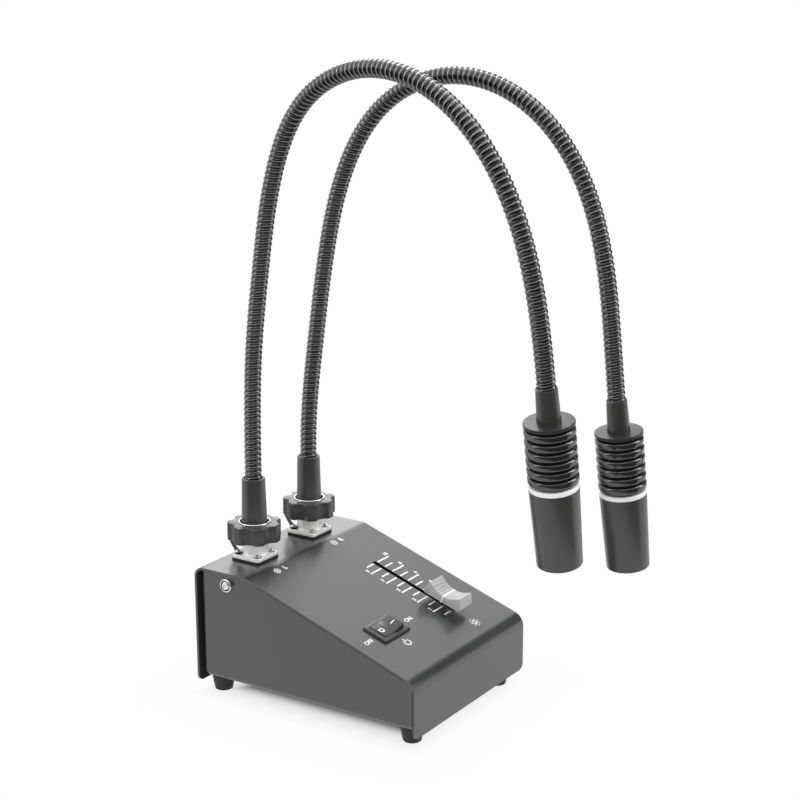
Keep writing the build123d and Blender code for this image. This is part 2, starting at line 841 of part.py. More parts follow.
# Radius of a ball of the given radius, at a distance from its centre.
def ball_slice(radius, distance):
    return math.sqrt(radius * radius - distance * distance)


ball_end_bore = neck_bore + soft_edge / 2
ball_reach = ball_slice(ball_radius, ball_end_bore)
cup_radius = ball_radius + body_gap
cup_reach = ball_slice(cup_radius, neck_bore)


# One section of gooseneck: a ball at its lower end, ribs, and a cup at its upper end.
def make_neck_section(side, number):
    start = joint_place_shares[number] * neck_length
    last = number + 1 == len(joint_place_shares)
    outer = [
        (start - ball_reach, ball_end_bore),
        (start - ball_reach / 2, ball_slice(ball_radius, ball_reach / 2)),
        (start, ball_radius),
    ]
    first_rib = math.ceil((start + joint_setback) / rib_pitch)
    outer.append((first_rib * rib_pitch - rib_pitch / 4, rib_root))
    if last:
        end = neck_length + neck_seat
        rib_end = neck_length + rib_pitch
    else:
        hinge = joint_place_shares[number + 1] * neck_length
        end = hinge - joint_setback
        rib_end = end - collar
    rib = first_rib
    while (rib + 1) * rib_pitch <= rib_end:
        for i, share in enumerate(rib_place_shares):
            radius = rib_crest if i in (1, 2) else rib_root
            outer.append(((rib + share) * rib_pitch, radius))
        rib += 1
    if last:
        outer.append((end, rib_root))
    else:
        outer.append((rib * rib_pitch, rib_root))
        outer.append((end - collar / 2, rib_crest))
        outer.append((end, rib_crest))
    spans = math.ceil((end - start) / (2 * rib_pitch))
    inner_end = end + overrun if last else hinge - cup_reach
    inner_start = start - ball_reach - overrun
    inner = [(inner_start + (inner_end - inner_start) * i / spans, neck_bore) for i in range(spans + 1)]
    if not last:
        middle = (cup_reach + joint_setback) / 2
        inner.append((hinge - middle, ball_slice(cup_radius, middle)))
        inner.append((end + run_gap, ball_slice(cup_radius, joint_setback - run_gap)))
    return neck_loft(side, outer) - neck_loft(side, inner), rib - first_rib


# Frame of one lamp head: z runs on from the gooseneck's end.
def head_frame(side):
    return neck_frame(side, neck_length)


disc_face = head_sleeve_length
fin_pitch = fin_thick + fin_gap
fins_end = disc_face + disc_thick + fin_gap + fin_count * fin_pitch
board_face = fins_end
band_top = fins_end + bezel_band
barrel_end = band_top + head_barrel_length
lens_face = barrel_end - barrel_lip


# Sleeve between the gooseneck and the heat sink.
def make_head_sleeve():
    sleeve = taper(head_sleeve_mouth, head_sleeve_radius, 0, head_sleeve_length)
    sleeve = fillet(sleeve.edges().group_by(Axis.Z)[0], (head_sleeve_mouth - head_sleeve_bore) / 2)
    sleeve -= bar(head_sleeve_bore, -overrun, neck_seat)
    return sleeve - bar(lead_bore, 0, head_sleeve_length + overrun)


# Finned heat sink: a thin top disc, rounded fins on a core, and a spigot for the barrel.
def make_heatsink():
    sink = bar(core_radius, disc_face, fins_end)
    sink += bar(head_radius, disc_face, disc_face + disc_thick)
    for i in range(fin_count):
        bottom = disc_face + disc_thick + fin_gap + i * fin_pitch
        fin = bar(head_radius, bottom, bottom + fin_thick)
        sink += fillet(fin.edges(), fin_round)
    spigot_end = fins_end - fin_gap + heatsink_spigot_length
    sink += bar(heatsink_spigot, fins_end - fin_gap, spigot_end)
    sink -= bar(board_seat_radius, board_face, spigot_end + overrun)
    return sink - bar(lead_bore, 0, spigot_end)


# Polished band between the heat sink and the barrel.
def make_bezel_ring():
    ring = bar(barrel_top_radius, fins_end, band_top)
    ring = fillet(ring.edges(), soft_edge)
    return ring - bar(heatsink_spigot + fit_gap, 0, band_top + overrun)


# Tapered lamp barrel with a lip that keeps the lens in.
def make_head_barrel():
    barrel = taper(barrel_top_radius, barrel_end_radius, band_top, barrel_end)
    barrel = fillet(barrel.edges().group_by(Axis.Z)[-1], soft_edge)
    barrel -= bar(barrel_wall_bore, band_top - overrun, lens_face)
    barrel -= bar(heatsink_spigot + fit_gap, band_top - overrun, band_top + heatsink_spigot_length)
    return barrel - bar(barrel_lip_bore, 0, barrel_end + overrun)


# Condenser lens: flat in front, bulging towards the emitter.
def make_lens():
    radius = barrel_wall_bore - fit_gap
    sphere_radius = (radius * radius + lens_bulge * lens_bulge) / (2 * lens_bulge)
    bulge_bottom = lens_face - lens_edge - lens_bulge
    bulge = Pos(0, 0, bulge_bottom + sphere_radius) * Sphere(sphere_radius)
    return bulge & bar(radius, bulge_bottom - overrun, lens_face)


# Round metal-core board with its emitter and dome.
def make_led_board():
    top = board_face + led_board_thick
    board = bar(board_seat_radius - fit_gap, board_face, top)
    emitter_top = top + emitter_height
    board += Pos(0, 0, top) * Box(emitter_size, emitter_size, emitter_height, align=UP)
    return board + (Pos(0, 0, emitter_top) * Sphere(dome_radius) & bar(dome_radius, emitter_top, barrel_end))


save("top_cover", make_top_cover())
save("base_chassis", make_base_chassis())
save("rubber_feet", group([Pos(x, y, 0) * make_foot() for x, y in foot_places()]))
foot_screw_length = floor_height - foot_pocket_depth + sheet + foot_boss_height + foot_screw_rise
foot_screw = pan_screw(foot_thread - fit_gap, foot_head_radius, foot_head_height, foot_screw_length)
save("foot_screws", group([Pos(x, y, foot_pocket_depth) * foot_screw for x, y in foot_places()]))
cover_screw = pan_screw(cover_thread - fit_gap, cover_head_radius, cover_head_height, cover_screw_length)
left_screw = Pos(-plate_face, cover_screw_y, cover_screw_z) * Rot(0, 90, 0) * cover_screw
save("cover_screws", group([left_screw, mirror(left_screw, Plane.YZ)]))

save("fader_body", make_fader_body())
save("fader_lever", make_fader_lever())
save("fader_knob", make_fader_knob())
save("switch_housing", make_switch_housing())
save("switch_rocker", make_switch_rocker())
save("switch_terminals", group(make_switch_terminals()))
save("control_board", make_control_board())
save("board_components", group(make_board_components()))
save("board_spacers", group(make_board_spacers()))
save("board_screws", group(make_board_screws()))
save("dc_jack", make_dc_jack())
save("dc_jack_nut", make_dc_jack_nut())

flange_screws = []
contacts = []
for side in SIDES:
    place = socket_frame(side)
    save(side + "_socket_shell", place * make_socket_shell())
    save(side + "_socket_gasket", place * make_socket_gasket())
    save(side + "_socket_insert", place * make_socket_insert())
    save(side + "_dust_cap", place * make_dust_cap())
    save(side + "_coupling_nut", place * make_coupling_nut(side))
    save(side + "_nut_ring", place * make_nut_ring())
    save(side + "_plug_shell", place * make_plug_shell())
    save(side + "_plug_insert", place * make_plug_insert())
    save(side + "_base_sleeve", place * make_base_sleeve())
    flange_screws += [place * screw for screw in make_flange_screws()]
    contacts += [place * tube for tube in make_socket_contacts()]
    ribs = 0
    for number in range(len(joint_place_shares)):
        section, count = make_neck_section(side, number)
        save(side + "_gooseneck_" + str(number + 1), section)
        ribs += count
    print(side, "gooseneck ribs:", ribs)
    head = head_frame(side)
    save(side + "_head_sleeve", head * make_head_sleeve())
    save(side + "_heatsink", head * make_heatsink())
    save(side + "_bezel_ring", head * make_bezel_ring())
    save(side + "_head_barrel", head * make_head_barrel())
    save(side + "_lens", head * make_lens())
    save(side + "_led_board", head * make_led_board())
    for share in joint_place_shares:
        frame = neck_frame(side, share * neck_length)
        print(side, "hinge at", frame.origin, "across", frame.x_dir, "along", frame.z_dir)
    print(side, "head end", (head * Pos(0, 0, barrel_end)).position)
save("socket_screws", group(flange_screws))
save("socket_contacts", group(contacts))
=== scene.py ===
from math import acos, asin, atan2, ceil, copysign, cos, floor, hypot, pi, radians, sin, sqrt, tan
import bmesh
import bpy
from mathutils import Matrix, Vector


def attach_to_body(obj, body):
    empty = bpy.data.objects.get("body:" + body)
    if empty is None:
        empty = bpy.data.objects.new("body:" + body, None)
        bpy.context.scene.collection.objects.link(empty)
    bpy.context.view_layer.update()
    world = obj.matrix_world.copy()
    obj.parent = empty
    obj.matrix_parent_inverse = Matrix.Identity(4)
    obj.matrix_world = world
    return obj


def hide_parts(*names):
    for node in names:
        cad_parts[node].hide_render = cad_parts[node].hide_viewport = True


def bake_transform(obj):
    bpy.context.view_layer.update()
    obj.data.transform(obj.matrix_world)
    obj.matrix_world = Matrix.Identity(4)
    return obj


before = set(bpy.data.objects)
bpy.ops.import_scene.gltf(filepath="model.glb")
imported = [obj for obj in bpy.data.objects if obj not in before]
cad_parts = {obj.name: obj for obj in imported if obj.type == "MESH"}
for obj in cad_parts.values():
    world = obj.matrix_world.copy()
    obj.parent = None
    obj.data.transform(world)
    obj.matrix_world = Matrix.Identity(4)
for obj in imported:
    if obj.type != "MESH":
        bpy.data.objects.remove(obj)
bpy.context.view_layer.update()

MM = 0.001
MICRON = 0.000001
move = Matrix.Translation
SIDES = ("left", "right")
scene = bpy.context.scene

# Sizes of the box and the goosenecks, mm and degrees
strip_height = 65.6
bend_y = 32.1
slope = atan2(32.3, 95.6)
fader_x = 21.6
slot_middle_down = 51.3
slot_half_width, slot_half_length = 1.35, 29.0
side_x = 48.5
socket_x = {"left": -24.3, "right": 21.2}
socket_y = 46.0
sleeve_top = 41.2
neck_length = 414.9
neck_heading = {"left": -101.4, "right": -89.3}
# Tilt from upright and swing out of the upright plane, at equal steps along a gooseneck
neck_tilt = {
    "left": (0.0, 2.7, 9.2, 11.9, 27.1, 62.7, 95.8, 126.9, 153.5, 172.3, 181.3),
    "right": (0.0, 7.4, 8.9, 14.4, 32.6, 67.2, 105.1, 138.2, 162.9, 174.9, 177.4),
}
neck_swing = {
    "left": (0.0, 0.0, 0.0, 0.0, -0.2, 0.0, 0.8, 2.5, 4.8, 7.1, 9.4),
    "right": (0.0, 0.0, 0.0, 0.0, -0.4, -0.5, -0.5, 0.1, 1.4, 3.7, 6.8),
}
hinge_shares = (0.0, 0.22, 0.44, 0.66, 0.88)
hinge_places = [share * neck_length for share in hinge_shares]
hose_in_lower_sleeve, hose_in_upper_sleeve = 6.0, 11.0
nut_phase = {"left": 202.0, "right": 196.0}
track_step = 0.5


def table_at(values, share):
    """Smooth value between the entries of an even table."""
    spans = len(values) - 1
    place = min(max(share, 0), 1) * spans
    i = min(int(place), spans - 1)
    u = place - i
    before = values[i - 1] if i > 0 else 2 * values[0] - values[1]
    after = values[i + 2] if i + 2 <= spans else 2 * values[-1] - values[-2]
    here, there = values[i], values[i + 1]
    curve = 2 * here + (there - before) * u
    curve += (2 * before - 5 * here + 4 * there - after) * u ** 2
    curve += (3 * here - before - 3 * there + after) * u ** 3
    return curve / 2


def neck_directions(side, share):
    """Directions across and along a gooseneck, at a share of its length."""
    tilt, swing = (radians(table_at(table[side], share)) for table in (neck_tilt, neck_swing))
    h = radians(neck_heading[side])
    level = Vector((-sin(h), cos(h), 0))
    upright = Vector((cos(h) * sin(tilt), sin(h) * sin(tilt), cos(tilt)))
    across = level * cos(swing) - upright * sin(swing)
    along = upright * cos(swing) + level * sin(swing)
    return across, along


def neck_track(side):
    """Points along the middle of a gooseneck."""
    steps = round(neck_length / track_step)
    track = [Vector((socket_x[side], socket_y, strip_height + sleeve_top))]
    for i in range(steps):
        track.append(track[-1] + neck_directions(side, (i + 0.5) / steps)[1] * (neck_length / steps))
    return track


TRACKS = {side: neck_track(side) for side in SIDES}


def neck_frame(side, length):
    """Millimetre frame on the gooseneck's axis: x across its plane, z along it."""
    track = TRACKS[side]
    steps = len(track) - 1
    place = min(max(length / neck_length, 0), 1) * steps
    i = min(int(place), steps - 1)
    x, z = neck_directions(side, length / neck_length)
    beyond = max(length - neck_length, 0) + min(length, 0)
    m = Matrix((x, z.cross(x), z)).transposed().to_4x4()
    m.translation = track[i].lerp(track[i + 1], place - i) + z * beyond
    return m


def turn_about(axis, angle):
    return Matrix.Rotation(angle, 4, axis)


def socket_frame(side):
    """Frame on the top strip, in the middle of a socket."""
    return move((socket_x[side], socket_y, strip_height))


def panel_frame(x, down, out=0.0):
    """Frame on the sloped panel: x across, y up the slope, z out of it."""
    m = move((0, bend_y, strip_height)) @ turn_about("X", slope)
    return m @ move((x, -down, out))


# Mesh tools
NEARLY_STRAIGHT = 1.55
MOST_OF_AN_EDGE = 0.499
ON_AXIS = 1e-6
WELD_DISTANCE = 2e-7
LEAST_EDGE = 1e-7
LEAST_MITRE = 0.3


def circle_point(angle, radius=1.0):
    return Vector((radius * cos(angle), radius * sin(angle)))


def rounded(points, closed=False, arc=6):
    """Points (x, y) or (x, y, radius) with their corners turned into arcs."""
    out = []
    n = len(points)
    for i, p in enumerate(points):
        r = p[2] if len(p) > 2 else 0
        here = Vector(p[:2])
        if r <= 0 or (not closed and i in (0, n - 1)):
            out.append(here)
            continue
        a = Vector(points[i - 1][:2]) - here
        b = Vector(points[(i + 1) % n][:2]) - here
        la, lb = a.length, b.length
        a.normalize()
        b.normalize()
        half = acos(max(-1, min(1, a.dot(b)))) / 2
        if half > NEARLY_STRAIGHT:
            out.append(here)
            continue
        t = min(r / tan(half), MOST_OF_AN_EDGE * la, MOST_OF_AN_EDGE * lb)
        rad = t * tan(half)
        centre = here + (a + b).normalized() * (rad / sin(half))
        start = here + a * t - centre
        end = here + b * t - centre
        turn = atan2(start.x * end.y - start.y * end.x, start.dot(end))
        for k in range(arc + 1):
            w = turn * k / arc
            c, s = cos(w), sin(w)
            out.append(centre + Vector((start.x * c - start.y * s, start.x * s + start.y * c)))
    return out


def attach(obj, body=None, nodes=()):
    """Puts a piece in the scene, on its body, in place of its solids."""
    scene.collection.objects.link(obj)
    if body:
        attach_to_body(obj, body)
    if nodes:
        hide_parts(*nodes)
    return obj


class Shape:
    """Collects faces in millimetres and turns them into one Blender object in metres."""

    def __init__(self):
        self.verts, self.faces, self.uvs = [], [], []

    def add(self, verts, faces, uvs, m=Matrix()):
        base = len(self.verts)
        self.verts += [m @ Vector(v) for v in verts]
        self.faces += [[base + i for i in f] for f in faces]
        self.uvs += uvs
        return self

    def lathe(self, profile, m=Matrix(), steps=72, closed=False):
        """Turns (radius, z) points about z. Points on the axis become poles."""
        rings, verts, along = [], [], [0.0]
        for i, p in enumerate(profile):
            if i:
                along.append(along[-1] + (Vector(p) - Vector(profile[i - 1])).length)
            if abs(p[0]) < ON_AXIS:
                rings.append([len(verts)] * (steps + 1))
                verts.append((0, 0, p[1]))
            else:
                first = len(verts)
                for k in range(steps):
                    a = 2 * pi * k / steps
                    verts.append((p[0] * cos(a), p[0] * sin(a), p[1]))
                rings.append([first + k for k in range(steps)] + [first])
        wide = max(p[0] for p in profile) * 2 * pi / steps
        faces, uvs = [], []
        pairs = list(range(len(profile) - 1)) + ([len(profile) - 1] if closed else [])
        for i in pairs:
            j = (i + 1) % len(profile)
            v0 = along[i]
            v1 = along[j] if j else along[i] + (Vector(profile[0]) - Vector(profile[i])).length
            for k in range(steps):
                quad = [rings[i][k], rings[i][k + 1], rings[j][k + 1], rings[j][k]]
                uv = [(k * wide, v0), ((k + 1) * wide, v0), ((k + 1) * wide, v1), (k * wide, v1)]
                keep = [q for q in range(4) if quad[q] != quad[q - 1]]
                if len(keep) > 2:
                    faces.append([quad[q] for q in keep])
                    uvs.append([(uv[q][0] * MM, uv[q][1] * MM) for q in keep])
        return self.add(verts, faces, uvs, m)

    def turned(self, points, m=Matrix(), steps=96, arc=6):
        """Lathe of a closed (radius, z) outline with rounded corners."""
        return self.lathe(rounded(points, True, arc), m, steps, closed=True)

    def stack(self, loops, m=Matrix(), closed=False):
        """Skins loops of equal point count, one after the other. Loops are lists of (x, y, z)."""
        n = len(loops[0])
        count = len(loops)
        verts = [p for loop in loops for p in loop]
        faces = []
        for i in range(count if closed else count - 1):
            j = (i + 1) % count
            for k in range(n):
                q = (k + 1) % n
                faces.append([i * n + k, i * n + q, j * n + q, j * n + k])
        if not closed:
            faces += [list(range(n))[::-1], [(count - 1) * n + k for k in range(n)]]
        uvs = [[(verts[f][0] * MM, verts[f][1] * MM) for f in face] for face in faces]
        return self.add(verts, faces, uvs, m)

    def slab(self, outline, z0, z1, m=Matrix(), top=0.0, bottom=0.0, bore=0.0, arc=4):
        """Prism of a closed outline with rounded top and bottom edges, and a round bore."""
        outline = [Vector(p) for p in outline]
        n = len(outline)
        if sum(outline[k - 1].x * outline[k].y - outline[k].x * outline[k - 1].y for k in range(n)) < 0:
            outline.reverse()
        normals = []
        for k in range(n):
            a = (outline[k] - outline[k - 1]).normalized()
            b = (outline[(k + 1) % n] - outline[k]).normalized()
            na, nb = Vector((a.y, -a.x)), Vector((b.y, -b.x))
            s = na + nb
            normals.append(s / max(LEAST_MITRE, s.dot(na)))

        def ring(inset, z):
            return [(p.x - w.x * inset, p.y - w.y * inset, z) for p, w in zip(outline, normals)]

        def hole(z):
            around = [Vector((p.x, p.y)).normalized() * bore for p in outline]
            return [(d.x, d.y, z) for d in around]

        quarter = [pi / 2 * i / arc for i in range(arc + 1)]
        if bottom:
            loops = [ring(bottom * (1 - sin(a)), z0 + bottom * (1 - cos(a))) for a in quarter]
        else:
            loops = [ring(0, z0)]
        if top:
            loops += [ring(top * (1 - cos(a)), z1 - top * (1 - sin(a))) for a in quarter]
        else:
            loops.append(ring(0, z1))
        if bore:
            return self.stack(loops + [hole(z1), hole(z0)], m, closed=True)
        return self.stack(loops, m)

    def prism(self, outline, x0, x1, m=Matrix(), edge=0.0):
        """Side outline in (y, z), drawn out along x, its two ends rounded."""
        turn = Matrix(((0, 0, 1, 0), (1, 0, 0, 0), (0, 1, 0, 0), (0, 0, 0, 1)))
        return self.slab(outline, x0, x1, m @ turn, top=edge, bottom=edge, arc=3)

    def build(self, name, mat, body=None, nodes=(), slot=None, sharp=35, close=False):
        """One object with one material, its edges sharp past an angle, its open ends closed if asked."""
        mesh = bpy.data.meshes.new(name)
        mesh.from_pydata([v * MM for v in self.verts], [], self.faces)
        layer = mesh.uv_layers.new(name="UVMap")
        layer.data.foreach_set("uv", [c for face in self.uvs for uv in face for c in uv])
        mesh.materials.append(mat)
        bm = bmesh.new()
        bm.from_mesh(mesh)
        bmesh.ops.remove_doubles(bm, verts=bm.verts, dist=WELD_DISTANCE)
        if close:
            bmesh.ops.dissolve_degenerate(bm, edges=bm.edges, dist=LEAST_EDGE)
            bmesh.ops.holes_fill(bm, edges=[e for e in bm.edges if e.is_boundary], sides=0)
        bmesh.ops.recalc_face_normals(bm, faces=bm.faces)
        bm.to_mesh(mesh)
        bm.free()
        mesh.shade_smooth()
        mesh.set_sharp_from_angle(angle=radians(sharp))
        return attach(bpy.data.objects.new(name, mesh), body, nodes)


def build_side(side, body, rows):
    """One side's pieces, from rows of name, shape, material, solid that it replaces, slot and edge angle."""
    for name, shape, mat, node, slot, sharp in rows:
        nodes = (side + "_" + node,) if node else ()
        shape.build(side + "_" + name, mat, body, nodes, slot, sharp)


def rounded_box(wide, deep, corner, arc=5):
    w, d = wide / 2, deep / 2
    return rounded([(-w, -d, corner), (w, -d, corner), (w, d, corner), (-w, d, corner)], True, arc)


def rounded_square(size, corner):
    return rounded_box(size, size, corner, 6)


# Materials
class Nodes:
    """Short way to write the node tree of a material or of the world."""

    def __init__(self, tree):
        self.tree = tree
        self.bsdf = tree.nodes.get("Principled BSDF")

    def new(self, kind, inputs=None, **settings):
        """A node with its settings. Each input is a socket to link or a plain value."""
        node = self.tree.nodes.new(kind)
        for key, value in settings.items():
            setattr(node, key, value)
        return self.fill(node, inputs or {})

    def fill(self, node, inputs):
        for key, value in inputs.items():
            if hasattr(value, "is_linked"):
                self.tree.links.new(value, node.inputs[key])
            else:
                node.inputs[key].default_value = value
        return node

    def calc(self, operation, *inputs):
        return self.new("ShaderNodeMath", dict(enumerate(inputs)), operation=operation).outputs[0]

    def vector(self, operation, *inputs, output="Vector"):
        node = self.new("ShaderNodeVectorMath", dict(enumerate(inputs)), operation=operation)
        return node.outputs[output]

    def coords(self, kind="Object", scale=(1, 1, 1)):
        where = self.new("ShaderNodeTexCoord").outputs[kind]
        return self.new("ShaderNodeMapping", {"Vector": where, "Scale": scale}).outputs["Vector"]

    def noise(self, where, scale, detail=2.0, rough=0.5):
        inputs = {"Vector": where, "Scale": scale, "Detail": detail, "Roughness": rough}
        return self.new("ShaderNodeTexNoise", inputs).outputs["Fac"]

    def ramp(self, fac, stops):
        """Colour ramp. A stop is a place with a grey level or a colour."""
        node = self.new("ShaderNodeValToRGB", {"Fac": fac})
        steps = node.color_ramp.elements
        while len(steps) < len(stops):
            steps.new(0.5)
        for step, (place, tone) in zip(steps, stops):
            step.position = place
            step.color = (*colour_of(tone), 1)
        return node.outputs["Color"]

    def clouded(self, fac, dark, light):
        return self.ramp(fac, [(NOISE_LOW, dark), (NOISE_HIGH, light)])

    def remap(self, fac, low, high):
        inputs = {"Value": fac, "From Min": NOISE_LOW, "From Max": NOISE_HIGH, "To Min": low, "To Max": high}
        return self.new("ShaderNodeMapRange", inputs).outputs["Result"]

    def bump(self, height, strength, microns):
        inputs = {"Height": height, "Strength": strength, "Distance": microns * MICRON}
        return self.new("ShaderNodeBump", inputs).outputs["Normal"]

    def surface(self, colour, roughness, normal, **values):
        """Fills the Principled shader. Underscores in names stand for spaces."""
        values.update(Base_Color=colour, Roughness=roughness, Normal=normal)
        self.fill(self.bsdf, {key.replace("_", " "): value for key, value in values.items()})


# Most of a noise texture's values lie between these two
NOISE_LOW, NOISE_HIGH = 0.3, 0.7
COOL = (0.975, 1.0, 1.025)
WARM = (0.99, 1.02, 0.97)
CREAM = (1, 0.997, 0.98)


def colour_of(tone, tint=(1, 1, 1)):
    """A colour, from a grey level with a tint, or the colour itself."""
    return tone if isinstance(tone, tuple) else tuple(tone * share for share in tint)


def new_material(name):
    mat = bpy.data.materials.new(name)
    mat.use_nodes = True
    return mat, Nodes(mat.node_tree)


def grained(name, dark, light, rough, tint=(1, 1, 1), grain=1400, depth=40, strength=0.3, patch=200,
            spread=0.04, streak=None, **values):
    """Two-tone cloudy colour, uneven roughness and a fine grain, its depth in microns.

    A streak draws the grain out along the UV map's first direction.
    """
    mat, n = new_material(name)
    space, stretch = ("UV", (streak, 1, 1)) if streak else ("Object", (1, 1, 1))
    cloud = n.noise(n.coords(space), patch, 3)
    speck = n.noise(n.coords(space, stretch), grain, 2, 0.6)
    n.surface(n.clouded(cloud, colour_of(dark, tint), colour_of(light, tint)),
              n.remap(speck, rough - spread, rough + spread), n.bump(speck, strength, depth), **values)
    return mat


coat = {"tint": COOL, "IOR": 1.82, "grain": 1700, "strength": 0.02, "patch": 30, "spread": 0.015}
powder = grained("powder_coat", 0.034, 0.038, 0.25, **coat)
chassis_coat = grained("chassis_coat", 0.034, 0.038, 0.3, **coat)
anodised = grained("satin_anodised", 0.040, 0.046, 0.28, WARM, IOR=1.6, grain=1300, depth=10, strength=0.008,
                   patch=60, spread=0.006, streak=0.05)
disc_satin = grained("satin_disc", 0.030, 0.036, 0.38, WARM, IOR=1.3, grain=1300, depth=20, strength=0.02,
                     patch=60, spread=0.02)
gloss_fins = grained("glossy_anodised_fins", 0.013, 0.017, 0.18, IOR=1.85, grain=2200, depth=10,
                     strength=0.04, patch=90, spread=0.015, streak=0.05)
nylon = grained("moulded_nylon", 0.050, 0.058, 0.26, IOR=1.45, grain=900, depth=20, strength=0.02, patch=120,
                spread=0.015)
rubber = grained("black_rubber", 0.012, 0.017, 0.55, grain=1200, depth=60, strength=0.4, patch=80,
                 spread=0.06)
nickel = grained("satin_nickel", 0.94, 0.99, 0.24, CREAM, grain=700, depth=10, strength=0.03, Metallic=0.2,
                 patch=150, spread=0.02)
zinc = grained("zinc_plated_steel", 0.78, 0.9, 0.36, grain=900, depth=30, Metallic=1.0, patch=300,
               spread=0.08)
polished = grained("bright_ring", 0.92, 0.97, 0.3, grain=2500, depth=10, strength=0.1, Metallic=1.0,
                   patch=100, spread=0.03, streak=0.03)
band_silver = grained("bright_band", 0.98, 0.99, 0.28, grain=2500, depth=10, strength=0.05, patch=100,
                      spread=0.03, streak=0.03)
knob_grey = grained("grey_knob_plastic", 0.43, 0.48, 0.38, grain=1500, depth=30, strength=0.2, patch=150,
                    spread=0.05)
switch_black = grained("switch_nylon", 0.040, 0.046, 0.3, grain=1300, depth=30, patch=150, spread=0.06)
ink = grained("white_screen_ink", 0.86, 0.92, 0.5, grain=2500, depth=20, patch=300, spread=0.05)
brass = grained("plain_brass", (0.6, 0.43, 0.2), (0.72, 0.53, 0.26), 0.27, grain=900, depth=20, Metallic=1.0)
solder_mask = grained("green_solder_mask", (0.012, 0.10, 0.045), (0.02, 0.15, 0.07), 0.32, grain=500,
                      depth=20, patch=260)
chips = grained("component_black", 0.02, 0.035, 0.5, grain=1800)
white_mask = grained("white_solder_mask", 0.74, 0.8, 0.35, grain=600, depth=20)
# Black with almost no reflection, for painted shade in slots, gaps and recesses
painted_shade_black = grained("painted_shade_black", 0.004, 0.006, 0.8, Specular_IOR_Level=0.1)
phosphor = grained("phosphor", (0.75, 0.6, 0.12), (0.85, 0.7, 0.2), 0.45, grain=3000, patch=900)


def make_hose_steel():
    """Dark chromed spring tube: the UV map's second direction runs once over each turn of the winding."""
    mat, n = new_material("dark_chrome_hose")
    split = n.new("ShaderNodeSeparateXYZ", {"Vector": n.new("ShaderNodeTexCoord").outputs["UV"]})
    over_turn = n.calc("FRACT", split.outputs["Y"])
    streak = n.noise(n.coords(), 900, 3, 0.6)
    # Painted shade: the colour runs dark in the grooves between the turns and lighter over the crests
    tone = n.ramp(over_turn, [(0.0, 0.05), (0.08, 0.13), (0.37, 0.23), (0.66, 0.13), (0.74, 0.05),
                              (0.87, 0.10), (0.97, 0.05)])
    both = {"Factor": 1.0, "A": tone, "B": n.clouded(streak, 0.85, 1.0)}
    mix = n.new("ShaderNodeMix", both, data_type="RGBA", blend_type="MULTIPLY")
    n.surface(mix.outputs["Result"], n.remap(streak, 0.22, 0.28), n.bump(streak, 0.15, 20), Metallic=1.0)
    return mat


def make_glass():
    mat, n = new_material("polished_glass")
    speck = n.noise(n.coords(), 400, 3)
    n.surface(n.clouded(speck, 0.93, 0.9579), n.remap(speck, 0.01, 0.04), n.bump(speck, 0.03, 10), IOR=1.5,
              Transmission_Weight=1.0)
    return mat


hose_steel = make_hose_steel()
glass = make_glass()


def blacken_slot(mat):
    """Painted shade in the fader slot: the coat turns black near the slot and below the panel's face."""
    n = Nodes(mat.node_tree)
    here = n.new("ShaderNodeTexCoord").outputs["Object"]
    across = Vector((1, 0, 0))
    out = Vector((0, -sin(slope), cos(slope)))
    down = Vector((0, -cos(slope), -sin(slope)))
    middle = Vector((fader_x, bend_y, strip_height)) + down * slot_middle_down
    inside = 1.0
    for axis, limit, both_ways in ((across, slot_half_width, True), (out, -0.03, False),
                                   (down, slot_half_length, True)):
        offset = n.vector("DOT_PRODUCT", here, axis, output="Value")
        offset = n.calc("SUBTRACT", offset, middle.dot(axis) * MM)
        if both_ways:
            offset = n.calc("ABSOLUTE", offset)
        inside = n.calc("MULTIPLY", inside, n.calc("LESS_THAN", offset, limit * MM))
    coat_colour = n.bsdf.inputs["Base Color"].links[0].from_socket
    # Painted shade: near-black mixed into the coat inside the slot
    slot_shade_colour = (*colour_of(0.002), 1)
    mix = n.new("ShaderNodeMix", {"Factor": inside, "A": coat_colour, "B": slot_shade_colour}, data_type="RGBA")
    n.fill(n.bsdf, {"Base Color": mix.outputs["Result"]})


blacken_slot(powder)


def dress(node, mat):
    """Gives a carried-over CAD node a procedural material."""
    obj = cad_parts[node]
    if not obj.material_slots:
        obj.data.materials.append(None)
    for s in obj.material_slots:
        s.link = "OBJECT"
        s.material = mat


# The fader body takes the painted-shade black, so the fader slot shows dark as if in shade
for node, mat in (("top_cover", powder), ("base_chassis", chassis_coat), ("foot_screws", zinc),
                  ("fader_body", painted_shade_black), ("fader_lever", zinc), ("switch_terminals", brass),
                  ("socket_contacts", brass), ("board_spacers", brass), ("board_screws", zinc),
                  ("control_board", solder_mask), ("board_components", chips), ("dc_jack_nut", nickel)):
    dress(node, mat)
for side in SIDES:
    for part, mat in (("socket_insert", switch_black), ("plug_insert", switch_black), ("plug_shell", brass)):
        dress(side + "_" + part, mat)


